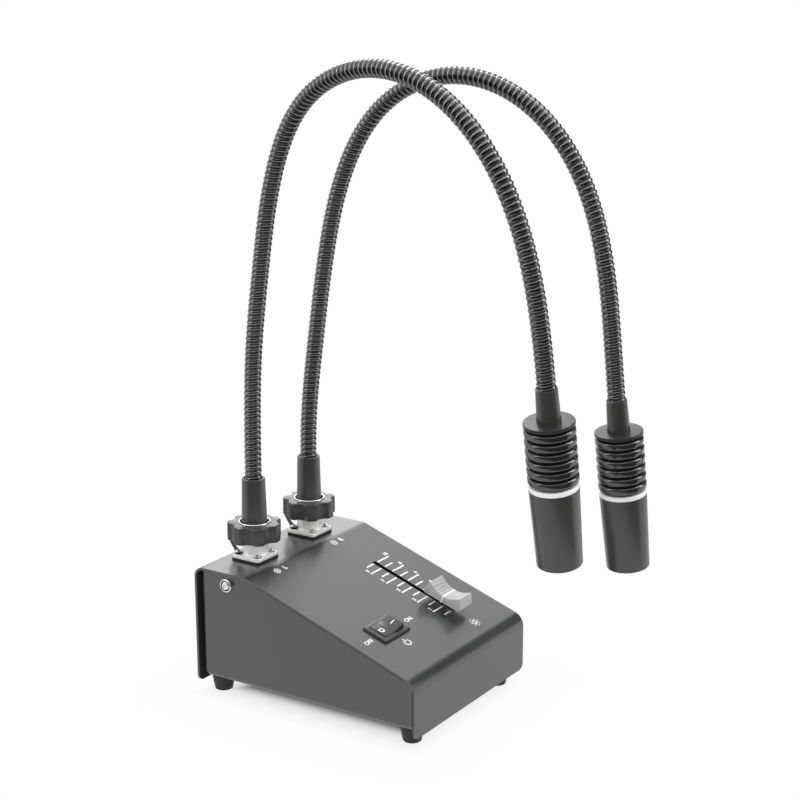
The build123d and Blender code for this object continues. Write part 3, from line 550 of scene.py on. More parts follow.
# Screws
def screw_head(radius, height, cut):
    """Mesh of a pan head, z up from its seat, with a cross recess."""
    head = Shape()
    profile = rounded([(0, 0), (radius, 0, 0.15), (radius, height * 0.55, height * 0.45),
                       (radius * 0.45, height * 0.97, radius), (0, height)], arc=7)
    obj = head.lathe(profile, steps=48).build("screw_head", zinc, sharp=40)
    half_top, half_low = cut, cut * 0.45
    wide_top, wide_low = cut * 0.2, cut * 0.2 * 0.7
    above, recess_floor = height + 0.4, height - cut * 0.95
    for turn in (0, pi / 2):
        loops = [[(-long, -wide, z), (long, -wide, z), (long, wide, z), (-long, wide, z)]
                 for long, wide, z in ((half_low, wide_low, recess_floor), (half_top, wide_top, above))]
        cutter = Shape().stack(loops, turn_about("Z", turn)).build("cutter", zinc)
        mod = obj.modifiers.new("cut", "BOOLEAN")
        mod.object = cutter
        mod.solver = "EXACT"
        deps = bpy.context.evaluated_depsgraph_get()
        mesh = bpy.data.meshes.new_from_object(obj.evaluated_get(deps))
        obj.modifiers.clear()
        obj.data = mesh
        bpy.data.objects.remove(cutter)
    mesh = obj.data
    bpy.data.objects.remove(obj)
    mesh.shade_smooth()
    mesh.set_sharp_from_angle(angle=radians(40))
    return mesh


def copies(name, mesh, spots):
    """Copies of one mesh, joined as one object, at frames given in millimetres."""
    bm = bmesh.new()
    for m in spots:
        m = m.copy()
        m.translation *= MM
        copy = mesh.copy()
        copy.transform(m)
        bm.from_mesh(copy)
        bpy.data.meshes.remove(copy)
    out = bpy.data.meshes.new(name)
    bm.to_mesh(out)
    bm.free()
    out.materials.clear()
    out.materials.append(zinc)
    out.set_sharp_from_angle(angle=radians(40))
    return bpy.data.objects.new(name, out)


# Feet and cover screws
foot_screw_radius, foot_screw_seat = 1.6, 4.0
foot_places = [(x, y) for y in (-55, 56) for x in (-39, 39)]
foot = Shape()
for x, y in foot_places:
    foot.turned([(foot_screw_radius, foot_screw_seat), (3.1, foot_screw_seat, 0.3), (3.1, 0, 0.3),
                 (4.4, 0, 0.9), (6.0, 9.0, 0.35), (foot_screw_radius, 9.0)], move((x, y, 0)), steps=72)
foot.build("rubber_feet_set", rubber, "root", ("rubber_feet",), "foot_rubber")

cover_screw_y, cover_screw_z = 44.4, 59.3
# Black strips just below the cover's overhanging side edges: painted shadow of the overhang on the side
# plates
edge_shadow_outline = [Vector((-94.0, -2.45)), Vector((-6.0, -2.45)), Vector((-6.0, -1.5)), Vector((-94.0, -1.5))]
ringed_head = [(0, 0), (3.4, 0, 0.1), (3.4, 1.7, 0.9), (2.75, 2.2, 0.4), (2.6, 1.5, 0.15), (2.1, 1.5, 0.1),
               (1.95, 1.95, 0.4), (0.9, 2.1, 0.6), (0.6, 1.5, 0.2), (0, 1.5)]
side_screws, groove_shade_rings, edge_shadow_strips = Shape(), Shape(), Shape()
for sign in (-1, 1):
    at = move((sign * side_x, cover_screw_y, cover_screw_z))
    at = at @ turn_about("Y", sign * pi / 2)
    side_screws.lathe(rounded(ringed_head, arc=5), at, steps=64)
    side_screws.lathe([(1.5, -5.0), (1.5, 0.1)], at, steps=32)
    # A black ring in each screw head's groove: painted shade in that recess
    groove_shade_rings.lathe([(2.1, 1.4), (2.6, 1.4), (2.6, 1.6), (2.1, 1.6)], at, steps=64, closed=True)
    edge_shadow_strips.prism(edge_shadow_outline, *sorted((sign * (side_x - 0.1), sign * (side_x + 0.04))), panel_frame(0, 0))
side_screws.build("side_screws", zinc, "root", ("cover_screws",), "screw_steel", sharp=50)
groove_shade_rings.build("side_screw_groove_shade", painted_shade_black, "root", (), "screw_steel", sharp=50)
edge_shadow_strips.build("cover_edge_shadows", painted_shade_black, "root", sharp=50)

# Fader knob: a saddle between two tips, with finger grooves across it
knob_down = 71.0
knob_half, knob_lean, knob_waist, knob_tuck = 11.1, 2.3, 1.6, 1.0
knob_base, knob_saddle, knob_tip = 3.6, 6.9, 10.7
knob_half_wide = 5.6
bar_pitch, bars_each_way = 1.62, 4
saddle_points = 12
reach = knob_half - knob_lean
rise = knob_tip - knob_saddle
saddle_radius = (reach * reach + rise * rise) / (2 * rise)
knob_at = panel_frame(fader_x, knob_down)


def saddle_z(y):
    return knob_saddle + saddle_radius - sqrt(saddle_radius * saddle_radius - y * y)


outline = [(-knob_half + knob_tuck, knob_base, 0.25), (knob_half - knob_tuck, knob_base, 0.25),
           (knob_half, knob_base + knob_waist, 0.35), (reach, knob_tip, 0.35)]
for k in range(saddle_points - 1, -saddle_points, -1):
    outline.append((reach * k / saddle_points, saddle_z(reach * k / saddle_points)))
outline += [(-reach, knob_tip, 0.35), (-knob_half, knob_base + knob_waist, 0.35)]
knob = Shape()
knob.prism(rounded(outline, True, arc=4), -knob_half_wide, knob_half_wide, knob_at, edge=0.25)
bar = rounded([(-0.42, -0.2), (0.42, -0.2), (0.3, 0.3, 0.12), (-0.3, 0.3, 0.12)], True, arc=3)
for way in (-1, 1):
    for k in range(1, bars_each_way + 1):
        y = way * bar_pitch * k
        at = knob_at @ move((0, y, saddle_z(y)))
        at = at @ turn_about("X", asin(y / saddle_radius))
        knob.prism(bar, -knob_half_wide + 0.25, knob_half_wide - 0.25, at, edge=0.12)
knob.build("fader_knob_cap", knob_grey, "fader", ("fader_knob",), "fader_cap", sharp=32)

# The white line runs up one side, over the saddle and down the other: outer (x, z), inner (x, z), half width
line_loops = []
for xo, zo, xi, zi, w in ((-5.68, knob_base + 0.15, -5.4, knob_base + 0.15, 0.36),
                          (-5.68, knob_saddle - 0.3, -5.4, knob_saddle - 0.4, 0.36),
                          (-5.5, knob_saddle + 0.22, -5.2, knob_saddle - 0.4, 0.45),
                          (5.5, knob_saddle + 0.22, 5.2, knob_saddle - 0.4, 0.5),
                          (5.68, knob_saddle - 0.1, 5.4, knob_saddle - 0.4, 0.4),
                          (5.68, knob_base + 0.2, 5.4, knob_base + 0.2, 0.36)):
    line_loops.append([(xo, -w, zo), (xo, w, zo), (xi, w, zi), (xi, -w, zi)])
Shape().stack(line_loops, knob_at).build("fader_knob_line", ink, "fader", sharp=30)


# Rocker switch
switch_x, switch_down = -23.65, 66.4
switch_at = panel_frame(switch_x, switch_down)
housing_floor, body_floor = -10.3, -13.0


def box_loop(half_wide, half_deep, z, corner=0.4):
    return [(p.x, p.y, z) for p in rounded_box(2 * half_wide, 2 * half_deep, corner)]


housing = Shape()
housing.stack([box_loop(10.5, 7.0, 0.0, 0.6), box_loop(10.5, 7.0, 0.85, 0.6), box_loop(10.3, 6.8, 1.12, 0.6),
               box_loop(10.1, 6.6, 1.2, 0.5), box_loop(8.35, 4.75, 1.2), box_loop(8.27, 4.62, 1.12, 0.35),
               box_loop(8.27, 4.62, housing_floor, 0.35), box_loop(0.4, 0.3, housing_floor, 0.1)], switch_at)
housing.stack([box_loop(9.5, 6.1, -0.3), box_loop(9.5, 6.1, body_floor)], switch_at)
housing.build("switch_frame", switch_black, "root", ("switch_housing",), "switch_plastic", sharp=30)

throw = radians(12)
dish = 3.0
pivot_depth = 1.5
swing_radius, rocker_half_wide, rocker_low = 8.05, 4.5, -2.6
swing_points = 8
pin_radius, pin_half = 1.2, 6.0
throw_slope = tan(throw)
# The paddle's corner is the last hundredth of a millimetre of its dished face inside the swing circle
places = [k / 100 for k in range(790)]
corner_x = max(x for x in places if hypot(x, dish + throw_slope * x) <= swing_radius)
corner_z = dish + throw_slope * corner_x
start = atan2(rocker_low, sqrt(swing_radius ** 2 - rocker_low ** 2))
end = atan2(corner_z, corner_x)
swing_angles = [start + (end - start) * k / swing_points for k in range(swing_points)]
right_side = [(swing_radius * cos(a), swing_radius * sin(a), 0) for a in swing_angles]
right_side.append((corner_x, corner_z, 0.35))
left_side = [(-x, z, r) for x, z, r in right_side[::-1]]
curve = rounded(right_side + [(0.0, dish, 14.0)] + left_side, True, arc=8)
stand_up = Matrix(((1, 0, 0, 0), (0, 0, -1, 0), (0, 1, 0, 0), (0, 0, 0, 1)))
rocker_at = panel_frame(switch_x, switch_down, -pivot_depth) @ turn_about("Y", -throw)
paddle = Shape()
paddle.slab(curve, -rocker_half_wide, rocker_half_wide, rocker_at @ stand_up, top=0.18, bottom=0.18, arc=3)
pin = rounded([(0, -pin_half), (pin_radius, -pin_half, 0.2), (pin_radius, pin_half, 0.2), (0, pin_half)])
paddle.lathe(pin, rocker_at @ turn_about("X", pi / 2), steps=32)
paddle.build("rocker_paddle", switch_black, "rocker", ("switch_rocker",), "switch_plastic", sharp=30)


# Printed marks
PRINT_LOW, PRINT_TOP = -0.01, 0.03


def flat_bar(shape, m, x0, y0, x1, y1, wide):
    a, b = Vector((x0, y0)), Vector((x1, y1))
    along = (b - a).normalized() * (wide / 2)
    across = Vector((-along.y, along.x))
    shape.slab([a - across, b - across, b + across, a + across], PRINT_LOW, PRINT_TOP, m)


def arc_band(shape, m, radius, wide, a0=0, a1=360, steps=28, flatter=0.0):
    """Printed arc, or a whole ring, between two angles in degrees. It can be less high than wide."""
    low, high = radius - wide / 2, radius + wide / 2
    loops = []
    for k in range(steps + 1):
        a = radians(a0 + (a1 - a0) * k / steps)
        inner, outer = ((r * cos(a), (r - flatter) * sin(a)) for r in (low, high))
        loops.append([(*inner, PRINT_LOW), (*outer, PRINT_LOW), (*outer, PRINT_TOP), (*inner, PRINT_TOP)])
    whole = a1 - a0 == 360
    shape.stack(loops[:-1] if whole else loops, m, closed=whole)


def word(name, text, x, down, size, bold):
    """Letters as a thin print on the panel, their middle at the given place."""
    capital_share = 0.73
    curve = bpy.data.curves.new(name, "FONT")
    curve.body = text
    curve.size = size * MM / capital_share
    curve.align_x = "CENTER"
    curve.align_y = "CENTER"
    curve.offset = bold * MM
    curve.extrude = 0.02 * MM
    curve.resolution_u = 6
    curve.space_character = 1.05
    temp = bpy.data.objects.new(name + "_curve", curve)
    scene.collection.objects.link(temp)
    deps = bpy.context.evaluated_depsgraph_get()
    mesh = bpy.data.meshes.new_from_object(temp.evaluated_get(deps))
    bpy.data.objects.remove(temp)
    xs = [v.co.x for v in mesh.vertices]
    ys = [v.co.y for v in mesh.vertices]
    middle = Vector(((min(xs) + max(xs)) / 2, (min(ys) + max(ys)) / 2, -0.005 * MM))
    m = panel_frame(x, down, 0.01)
    m.translation *= MM
    for v in mesh.vertices:
        v.co = m @ (v.co - middle)
    mesh.materials.clear()
    mesh.materials.append(ink)
    attach(bpy.data.objects.new(name, mesh), "root")


scale_zero_down, scale_pitch = 75.8, 4.8
# Each pair is for the even and the odd marks
tick_left, tick_left_ends = 19.9, (13.8, 10.7)
tick_right, tick_right_ends = 23.3, (33.4, 30.0)
tick_wide = 0.82
digit_places, ten_x = (33.6, 11.3), 33.9
ticks = Shape()
for value in range(11):
    down = scale_zero_down - scale_pitch * value
    m = panel_frame(0, down)
    odd = value % 2
    flat_bar(ticks, m, tick_left, 0, tick_left_ends[odd], 0, tick_wide)
    flat_bar(ticks, m, tick_right, 0, tick_right_ends[odd], 0, tick_wide)
    digit_x = ten_x if value == 10 else digit_places[odd]
    word("digit_%d" % value, str(value), digit_x, down - scale_pitch / 2, 2.2, 0.13)
ticks.build("scale_marks", ink, "root", sharp=30)
for row in (("mark_on", "ON", -6.6, 67.5, 2.5, 0.09), ("mark_off", "OFF", -40.25, 67.7, 2.5, 0.09),
            ("mark_left", "L", -24.4, 4.4, 2.7, 0.14), ("mark_right", "R", 23.9, 3.8, 2.7, 0.14)):
    word(*row)

symbols = Shape()
power_at = panel_frame(-23.5, 78.6)
arc_band(symbols, power_at, 1.9, 0.62, 130, 410)
flat_bar(symbols, power_at, 0, 0.3, 0, 2.8, 0.62)
sun_at = panel_frame(22.2, 88.6)
sun_rays, ray_start, ray_end = 8, 2.1, 3.0
arc_band(symbols, sun_at, 1.2, 0.62)
for k in range(sun_rays):
    a = 2 * pi * k / sun_rays
    c, s = cos(a), sin(a)
    flat_bar(symbols, sun_at, ray_start * c, ray_start * s, ray_end * c, ray_end * s, 0.55)
for x, down in ((-30.5, 4.4), (17.8, 3.8)):
    lamp_at = panel_frame(x, down)
    arc_band(symbols, lamp_at, 1.6, 0.5)
    for turn in (pi / 4, -pi / 4):
        c, s = 1.5 * cos(turn), 1.5 * sin(turn)
        flat_bar(symbols, lamp_at, -c, -s, c, s, 0.45)
symbols.build("panel_symbols", ink, "root", sharp=30)

# I and O follow the two slopes of the rocker
rocker_mark_x = 4.2
for name, sign in (("rocker_on", 1), ("rocker_off", -1)):
    rocker_mark_z = dish + throw_slope * rocker_mark_x + 0.005
    place = rocker_at @ move((sign * rocker_mark_x, 0, rocker_mark_z))
    place = place @ turn_about("Y", -sign * throw)
    mark = Shape()
    if sign > 0:
        flat_bar(mark, place, -1.5, 0, 1.5, 0, 0.6)
    else:
        arc_band(mark, place, 1.325, 0.65, steps=32, flatter=0.15)
    mark.build(name, ink, "rocker", sharp=30)

# Power inlet
inlet_x, inlet_y, inlet_z = 26.0, 63.5, 27.0
cavity_floor = -7.2
inlet_at = move((inlet_x, inlet_y, inlet_z)) @ turn_about("X", -pi / 2)
inlet = Shape()
inlet.lathe(rounded([(0, -13), (3.95, -13, 0.3), (3.95, 0), (5.4, 0, 0.2), (5.4, 1.8, 0.5), (3.3, 1.8, 0.3),
                     (2.8, 1.2, 0.3), (2.8, cavity_floor, 0.2), (0, cavity_floor)], arc=4), inlet_at)
inlet_pin = rounded([(0, cavity_floor), (1.05, cavity_floor), (1.05, -1.3, 0.4), (0, -1.0)], arc=4)
inlet.lathe(inlet_pin, inlet_at, steps=32)
inlet.build("inlet", switch_black, "root", ("dc_jack",), "inlet_plastic")

# Sockets
gasket_size, gasket_top = 17.0, 1.0
flange_size, flange_top = 16.4, 2.8
screw_offset = 5.7
eyelet_thickness = 0.8
eyelet_x, eyelet_y = -screw_offset, screw_offset
barrel_radius, barrel_bore, barrel_top = 6.3, 5.3, 16.0
thread_low, thread_high, thread_pitch, thread_root = 9.0, 15.0, 1.0, 6.08
for side in SIDES:
    at = socket_frame(side)
    gasket = Shape().slab(rounded_square(gasket_size, 1.5), 0.0, gasket_top, at, top=0.2, bottom=0.1,
                          bore=5.6)
    shell = Shape().slab(rounded_square(flange_size, 1.4), gasket_top, flange_top, at, top=0.35, bottom=0.15,
                         bore=5.4)
    profile = [(4.5, -12.0), (5.5, -12.0, 0.2), (5.5, 1.2), (barrel_radius, 2.0), (barrel_radius, 2.7),
               (6.5, 2.75), (6.5, 3.1, 0.2), (barrel_radius, 3.4), (barrel_radius, thread_low - 0.2)]
    for k in range(round((thread_high - thread_low) / thread_pitch)):
        z = thread_low + thread_pitch * k
        profile += [(barrel_radius, z), (thread_root, z + 0.35), (thread_root, z + 0.5),
                    (barrel_radius, z + 0.85)]
    profile += [(barrel_radius, barrel_top - 0.4), (6.0, barrel_top), (barrel_bore, barrel_top, 0.15),
                (barrel_bore, 3.0), (4.5, 3.0)]
    shell.turned(profile, at, arc=3)
    build_side(side, "root", [("gasket", gasket, rubber, "socket_gasket", "foot_rubber", 35),
                              ("socket", shell, nickel, "socket_shell", "socket_nickel", 30)])

# One screw of each flange also holds the eyelet of a dust cap's strap
spots = []
for side in SIDES:
    for dx in (-screw_offset, screw_offset):
        for dy in (-screw_offset, screw_offset):
            lift = eyelet_thickness if (dx, dy) == (eyelet_x, eyelet_y) else 0.0
            screw_turn = dx * 3.1 + dy * 1.7
            spots.append(socket_frame(side) @ move((dx, dy, flange_top + lift)) @ turn_about("Z", screw_turn))
attach(copies("flange_screws", screw_head(1.6, 1.3, 1.05), spots), "root", ("socket_screws",))
# A thin black ring round each flange screw: painted shade where the screw meets the flange
screw_shade_rings = Shape()
for spot in spots:
    screw_shade_rings.lathe([(1.5, -0.02), (1.95, -0.02), (1.95, 0.03), (1.5, 0.03)], spot, steps=48, closed=True)
screw_shade_rings.build("flange_screw_shade_rings", painted_shade_black, "root", (), "screw_steel", sharp=50)


# Dust caps on straps
def smooth_path(points, per=8):
    """Points along a Catmull-Rom curve through the given ones."""
    pts = [Vector(p) for p in points]
    pts = [2 * pts[0] - pts[1]] + pts + [2 * pts[-1] - pts[-2]]
    out = []
    for i in range(1, len(pts) - 2):
        for k in range(per):
            u = k / per
            a, b, c, d = pts[i - 1:i + 3]
            out.append((2 * b + (c - a) * u + (2 * a - 5 * b + 4 * c - d) * u * u
                        + (3 * b - a - 3 * c + d) * u ** 3) / 2)
    out.append(pts[-2])
    return out


strap_route = [(-3.9, 7.9, 3.5), (-2.9, 10.2, 4.5), (-1.3, 13.6, 7.0), (0.9, 16.3, 10.2), (6.8, 16.0, 11.2),
               (13.6, 13.3, 10.2)]
strap_lean = Vector((0.9, 0.3, 0.2))
strap_half_thick, strap_half_wide, eyelet_extra_wide, widening_points = 0.75, 0.8, 0.75, 9
strap_around = 12
square_share = 0.6
cap_place = (19.0, 10.0, -2.2)
cap_outside = [(6.35, 8.3, 0.1), (6.9, 8.3, 0.15), (6.9, 9.3), (6.7, 9.5), (6.7, 14.4, 0.3),
               (6.3, 15.3, 0.5), (0, 15.3)]
cap_inside = [(0, 14.75), (5.9, 14.75, 0.3), (6.35, 8.3)]


def strap_loops():
    """Cross sections of the strap: rounded rectangles that grow wider towards the eyelet."""
    path = smooth_path(strap_route)
    last = len(path) - 1
    loops = []
    for i, p in enumerate(path):
        t = (path[min(i + 1, last)] - path[max(i - 1, 0)]).normalized()
        across = t.cross(Vector((0, 0, 1)).lerp(strap_lean, 0.35)).normalized()
        up = across.cross(t).normalized()
        wide = strap_half_wide + eyelet_extra_wide * max(0.0, 1 - i / widening_points)
        ring = []
        for k in range(strap_around):
            a = 2 * pi * k / strap_around
            c, s = (copysign(abs(v) ** square_share, v) for v in (cos(a), sin(a)))
            ring.append(p + across * (wide * c) + up * (strap_half_thick * s))
        loops.append(ring)
    return loops


for side in SIDES:
    at = socket_frame(side)
    cap = Shape()
    cap.lathe(rounded(cap_outside, arc=4) + rounded(cap_inside, arc=3), at @ move(cap_place))
    cap.stack(strap_loops(), at)
    eyelet_top = flange_top + eyelet_thickness
    cap.turned([(1.05, flange_top), (1.8, flange_top, 0.2), (1.8, eyelet_top, 0.2), (1.05, eyelet_top)],
               at @ move((eyelet_x, eyelet_y, 0)), steps=40, arc=3)
    build_side(side, "root", [("cap_and_strap", cap, rubber, "dust_cap", "foot_rubber", 35)])


# Coupling nuts and sleeves
nut_radius, nut_lobes, nut_fillet = 13.3, 7, 0.9
notch_centre, notch_radius = 15.8, 4.6
nut_low, nut_high, nut_bore, nut_thread_bore = 10.0, 18.7, 7.85, 6.45


def nut_outline(phase):
    """Round outline with a notch at each lobe's edge, and a fillet on both sides of each notch."""
    inner = nut_radius - nut_fillet
    k = inner ** 2 + notch_centre * notch_centre - (notch_radius + nut_fillet) ** 2
    delta = acos(k / (2 * inner * notch_centre))
    pts = []

    def sweep(mid, rad, a0, a1, steps):
        d = (a1 - a0 + pi) % (2 * pi) - pi
        for q in range(steps):
            pts.append(mid + circle_point(a0 + d * q / steps) * rad)

    for i in range(nut_lobes):
        w = radians(phase + 360 * i / nut_lobes)
        centre = circle_point(w, notch_centre)
        before, after = circle_point(w - delta, inner), circle_point(w + delta, inner)
        to_before = atan2(centre.y - before.y, centre.x - before.x)
        to_after = atan2(centre.y - after.y, centre.x - after.x)
        sweep(before, nut_fillet, w - delta, to_before, 6)
        sweep(centre, notch_radius, to_before + pi, to_after + pi, 12)
        sweep(after, nut_fillet, to_after, w + delta, 6)
        sweep(Vector((0, 0)), nut_radius, w + delta, w + 2 * pi / nut_lobes - delta, 4)
    return pts


ring_outline = [(6.6, 17.6), (7.8, 17.6), (7.8, 19.1, 0.2), (7.55, 19.3, 0.15), (7.2, 19.2, 0.15),
                (7.1, 18.2), (6.6, 18.1)]
# A black ring in the gap between the sleeve and the bright ring: painted shade in that gap
gap_shade_outline = [(6.28, 17.7), (7.12, 17.7), (7.12, 18.8, 0.1), (6.28, 18.8, 0.1)]
lower_sleeve_outline = [(4.5, 17.3), (6.25, 17.3), (6.24, 19.0), (5.7, sleeve_top - 0.2, 0.35),
                        (4.75, sleeve_top, 0.2), (4.5, sleeve_top - 0.4, 0.2)]
for side in SIDES:
    at = socket_frame(side)
    nut = Shape()
    nut.slab(nut_outline(nut_phase[side]), nut_low, nut_high, at, top=0.6, bottom=0.5, bore=nut_bore)
    nut.turned([(nut_thread_bore, nut_low + 0.1), (nut_bore, nut_low + 0.1), (nut_bore, 15.9),
                (nut_thread_bore, 15.9)], at, steps=72)
    ring, gap_shade = Shape().turned(ring_outline, at, arc=3), Shape().turned(gap_shade_outline, at)
    build_side(side, side + "_nut", [
        ("nut_body", nut, nylon, "coupling_nut", "nut_plastic", 38),
        ("bright_ring", ring, polished, "nut_ring", "polished_ring", 50),
        ("nut_gap_shade", gap_shade, painted_shade_black, None, "foot_rubber", 50)
    ])
    sleeve = Shape().turned(lower_sleeve_outline, at, arc=4)
    build_side(side, side + "_plug", [("lower_sleeve", sleeve, anodised, "base_sleeve", "dark_anodised", 50)])


# Goosenecks
PITCH = 2.7
# Outline of one turn of the winding, as place along it and radius: a round crest, then a low inner wire
WINDING = [(0.02, 3.72), (0.2, 3.92), (0.55, 4.12), (1.0, 4.19), (1.45, 4.12), (1.8, 3.92), (1.98, 3.72),
           (2.08, 3.76), (2.18, 3.86), (2.35, 3.90), (2.52, 3.86), (2.62, 3.76)]
AROUND = 28
uv_round = 0.025
blend_half_length, foot_blend_length = 22.0, 30.0


def winding_radius(place):
    place = place % PITCH
    before = (WINDING[-1][0] - PITCH, WINDING[-1][1])
    for point in WINDING + [(WINDING[0][0] + PITCH, WINDING[0][1])]:
        if place <= point[0]:
            u = (place - before[0]) / (point[0] - before[0])
            return before[1] + u * (point[1] - before[1])
        before = point
    return WINDING[0][1]


def hose_verts(side, low, high, rows):
    """Points of the winding, row after helical row, held between two lengths, and their turn counts."""
    verts, turns = [], []
    for s0, radius in rows:
        for j in range(AROUND):
            s = s0 + PITCH * j / AROUND
            held = min(max(s, low), high)
            unwound = held - PITCH * j / AROUND
            r = radius if held == s else winding_radius(unwound)
            a = 2 * pi * j / AROUND
            verts.append(neck_frame(side, held) @ Vector((r * cos(a), r * sin(a), 0)))
            turns.append(unwound / PITCH)
    return verts, turns


def hose_faces(count, turns):
    """Faces between the rows. The last face of a row joins the row that lies one turn further on."""
    faces, uvs = [], []
    per_turn = len(WINDING)
    for i in range(count - 1):
        for j in range(AROUND):
            further = 0
            after = j + 1
            if after == AROUND:
                if i + per_turn + 1 >= count:
                    continue
                further, after = 1, 0
            k = i + per_turn * further
            quad = [i * AROUND + j, k * AROUND + after, (k + 1) * AROUND + after, (i + 1) * AROUND + j]
            faces.append(quad)
            uv = []
            for v, ahead in zip(quad, (0, 1, 1, 0)):
                uv.append(((j + ahead) / AROUND * uv_round, turns[v] - further * ahead))
            uvs.append(uv)
    return faces, uvs


# Each stretch of winding holds one hinge, cut at the middles between the hinges
middles = [(hinge_places[k] + hinge_places[k + 1]) / 2 for k in range(4)]
cuts = [-hose_in_lower_sleeve] + middles + [neck_length + hose_in_upper_sleeve]
for side in SIDES:
    for k, hinge in enumerate(hinge_places):
        low, high = cuts[k], cuts[k + 1]
        spans = range(floor(low / PITCH) - 2, ceil(high / PITCH) + 2)
        rows = [(span * PITCH + offset, radius) for span in spans for offset, radius in WINDING]
        verts, turns = hose_verts(side, low, high, rows)
        hose = Shape().add(verts, *hose_faces(len(rows), turns))
        obj = hose.build("%s_hose_%d" % (side, k + 1), hose_steel, None,
                         ("%s_gooseneck_%d" % (side, k + 1),), "dark_chrome", 50, close=True)
        ends = (hinge - blend_half_length, hinge + blend_half_length) if k else (0.0, foot_blend_length)
        a, b = (tuple(neck_frame(side, length).translation * MM) for length in ends)
        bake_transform(obj)


# Lamp heads, measured down from the end of the gooseneck
sleeve_foot, disc_thick = 15.0, 1.6
head_radius, core_radius, hose_bore = 11.18, 8.9, 1.8
fins, first_fin, fin_pitch, fin_thick = 6, 17.7, 4.35, 3.25
band_low, band_top, rim = 43.8, 46.0, 82.0
band_radius, spigot_radius = 11.08, 9.45
barrel_wall_radius, lens_seat, lens_hold = 9.0, rim - 2.4, 8.3
lens_radius, lens_rise, lens_steps = 8.95, 2.6, 12
board_top, package_top, face_top = band_low + 1.6, band_low + 2.4, band_low + 2.46
dome_radius, dome_steps = 1.5, 8
pads_round, pads_radius, pads_turn = 6, 6.2, 0.3

upper_sleeve_outline = [(4.25, 0.2), (4.4, 0.0, 0.1), (4.75, 0.05, 0.2), (5.3, sleeve_foot),
                        (hose_bore, sleeve_foot), (hose_bore, 12.0), (4.25, 12.0)]
disc_top = sleeve_foot + disc_thick
disc_outline = [(5.2, sleeve_foot), (head_radius, sleeve_foot, 0.35), (head_radius, disc_top, 0.35),
                (core_radius, disc_top), (8.0, disc_top)]
fins_outline = [(hose_bore, sleeve_foot + 0.1), (core_radius, sleeve_foot + 0.1)]
for k in range(fins):
    z = first_fin + fin_pitch * k
    fins_outline += [(core_radius, z, 0.2), (head_radius, z, 2.0), (head_radius, z + fin_thick, 0.9),
                     (core_radius, z + fin_thick, 0.2)]
fins_outline += [(core_radius, band_low - 1.1), (9.4, band_low - 1.1), (9.4, band_low + 3.8, 0.2),
                 (8.7, band_low + 3.8), (8.7, band_low), (hose_bore, band_low)]
band_outline = [(spigot_radius, band_low), (band_radius, band_low, 0.6), (band_radius, band_top, 0.6),
                (spigot_radius, band_top)]
barrel_outline = [(spigot_radius, band_top), (10.98, band_top, 0.15), (10.03, rim - 0.02, 0.9),
                  (9.3, rim - 0.02, 0.3), (lens_hold, rim - 0.6, 0.3), (lens_hold, lens_seat),
                  (barrel_wall_radius, lens_seat), (barrel_wall_radius, band_top + 4.9),
                  (spigot_radius, band_top + 4.9)]
lens_sphere = (lens_radius ** 2 + lens_rise ** 2) / (2 * lens_rise)
lens_outline = [(0, lens_seat), (core_radius, lens_seat, 0.15)]
for k in range(lens_steps + 1):
    r = lens_radius * (1 - k / lens_steps)
    lens_outline.append((r, rim - 7.4 + lens_sphere - sqrt(lens_sphere * lens_sphere - r * r)))
board_outline = [(0, band_low), (8.65, band_low, 0.1), (8.65, board_top, 0.1), (0, board_top)]
face_outline = [(0, package_top), (1.35, package_top), (1.35, face_top), (0, face_top)]
dome_angles = [pi / 2 * k / dome_steps for k in range(dome_steps)]
dome_foot = package_top + 0.1
dome_outline = [(0, face_top + 0.01)]
dome_outline += [(dome_radius * cos(a), dome_foot + dome_radius * sin(a)) for a in dome_angles]
dome_outline.append((0, dome_foot + dome_radius))

for side in SIDES:
    at = neck_frame(side, neck_length)
    package = Shape().slab(rounded_square(3.6, 0.3), board_top, package_top, at, top=0.1)
    pads = Shape()
    for k in range(pads_round):
        m = at @ turn_about("Z", 2 * pi / pads_round * k + pads_turn)
        m = m @ move((pads_radius, 0, 0))
        pads.slab(rounded_box(2.2, 1.3, 0.3), board_top, board_top + 0.08, m, top=0.03)
    sleeve = Shape().turned(upper_sleeve_outline, at, arc=4)
    disc = Shape().lathe(rounded(disc_outline), at, 96)
    sink = Shape().turned(fins_outline, at, arc=7)
    band = Shape().turned(band_outline, at)
    barrel = Shape().turned(barrel_outline, at, 128)
    lens = Shape().lathe(rounded(lens_outline), at, 96)
    board = Shape().lathe(rounded(board_outline), at, 96)
    face = Shape().lathe(face_outline, at, 40)
    dome = Shape().lathe(dome_outline, at, 40)
    build_side(side, side + "_head", [
        ("upper_sleeve", sleeve, anodised, "head_sleeve", "dark_anodised", 50),
        ("top_disc", disc, disc_satin, None, "black_fins", 50),
        ("fins", sink, gloss_fins, "heatsink", "black_fins", 50),
        ("bright_band", band, band_silver, "bezel_ring", "polished_ring", 50),
        ("barrel", barrel, anodised, "head_barrel", "dark_anodised", 50),
        ("lens_glass", lens, glass, "lens", "lens_glass", 40),
        ("led_plate", board, white_mask, "led_board", "led_board", 35),
        ("led_package", package, white_mask, None, "led_board", 35),
        ("led_face", face, phosphor, None, "led_board", 35),
        ("led_dome", dome, glass, None, "lens_glass", 50),
        ("led_pads", pads, zinc, None, "led_board", 35)
    ])


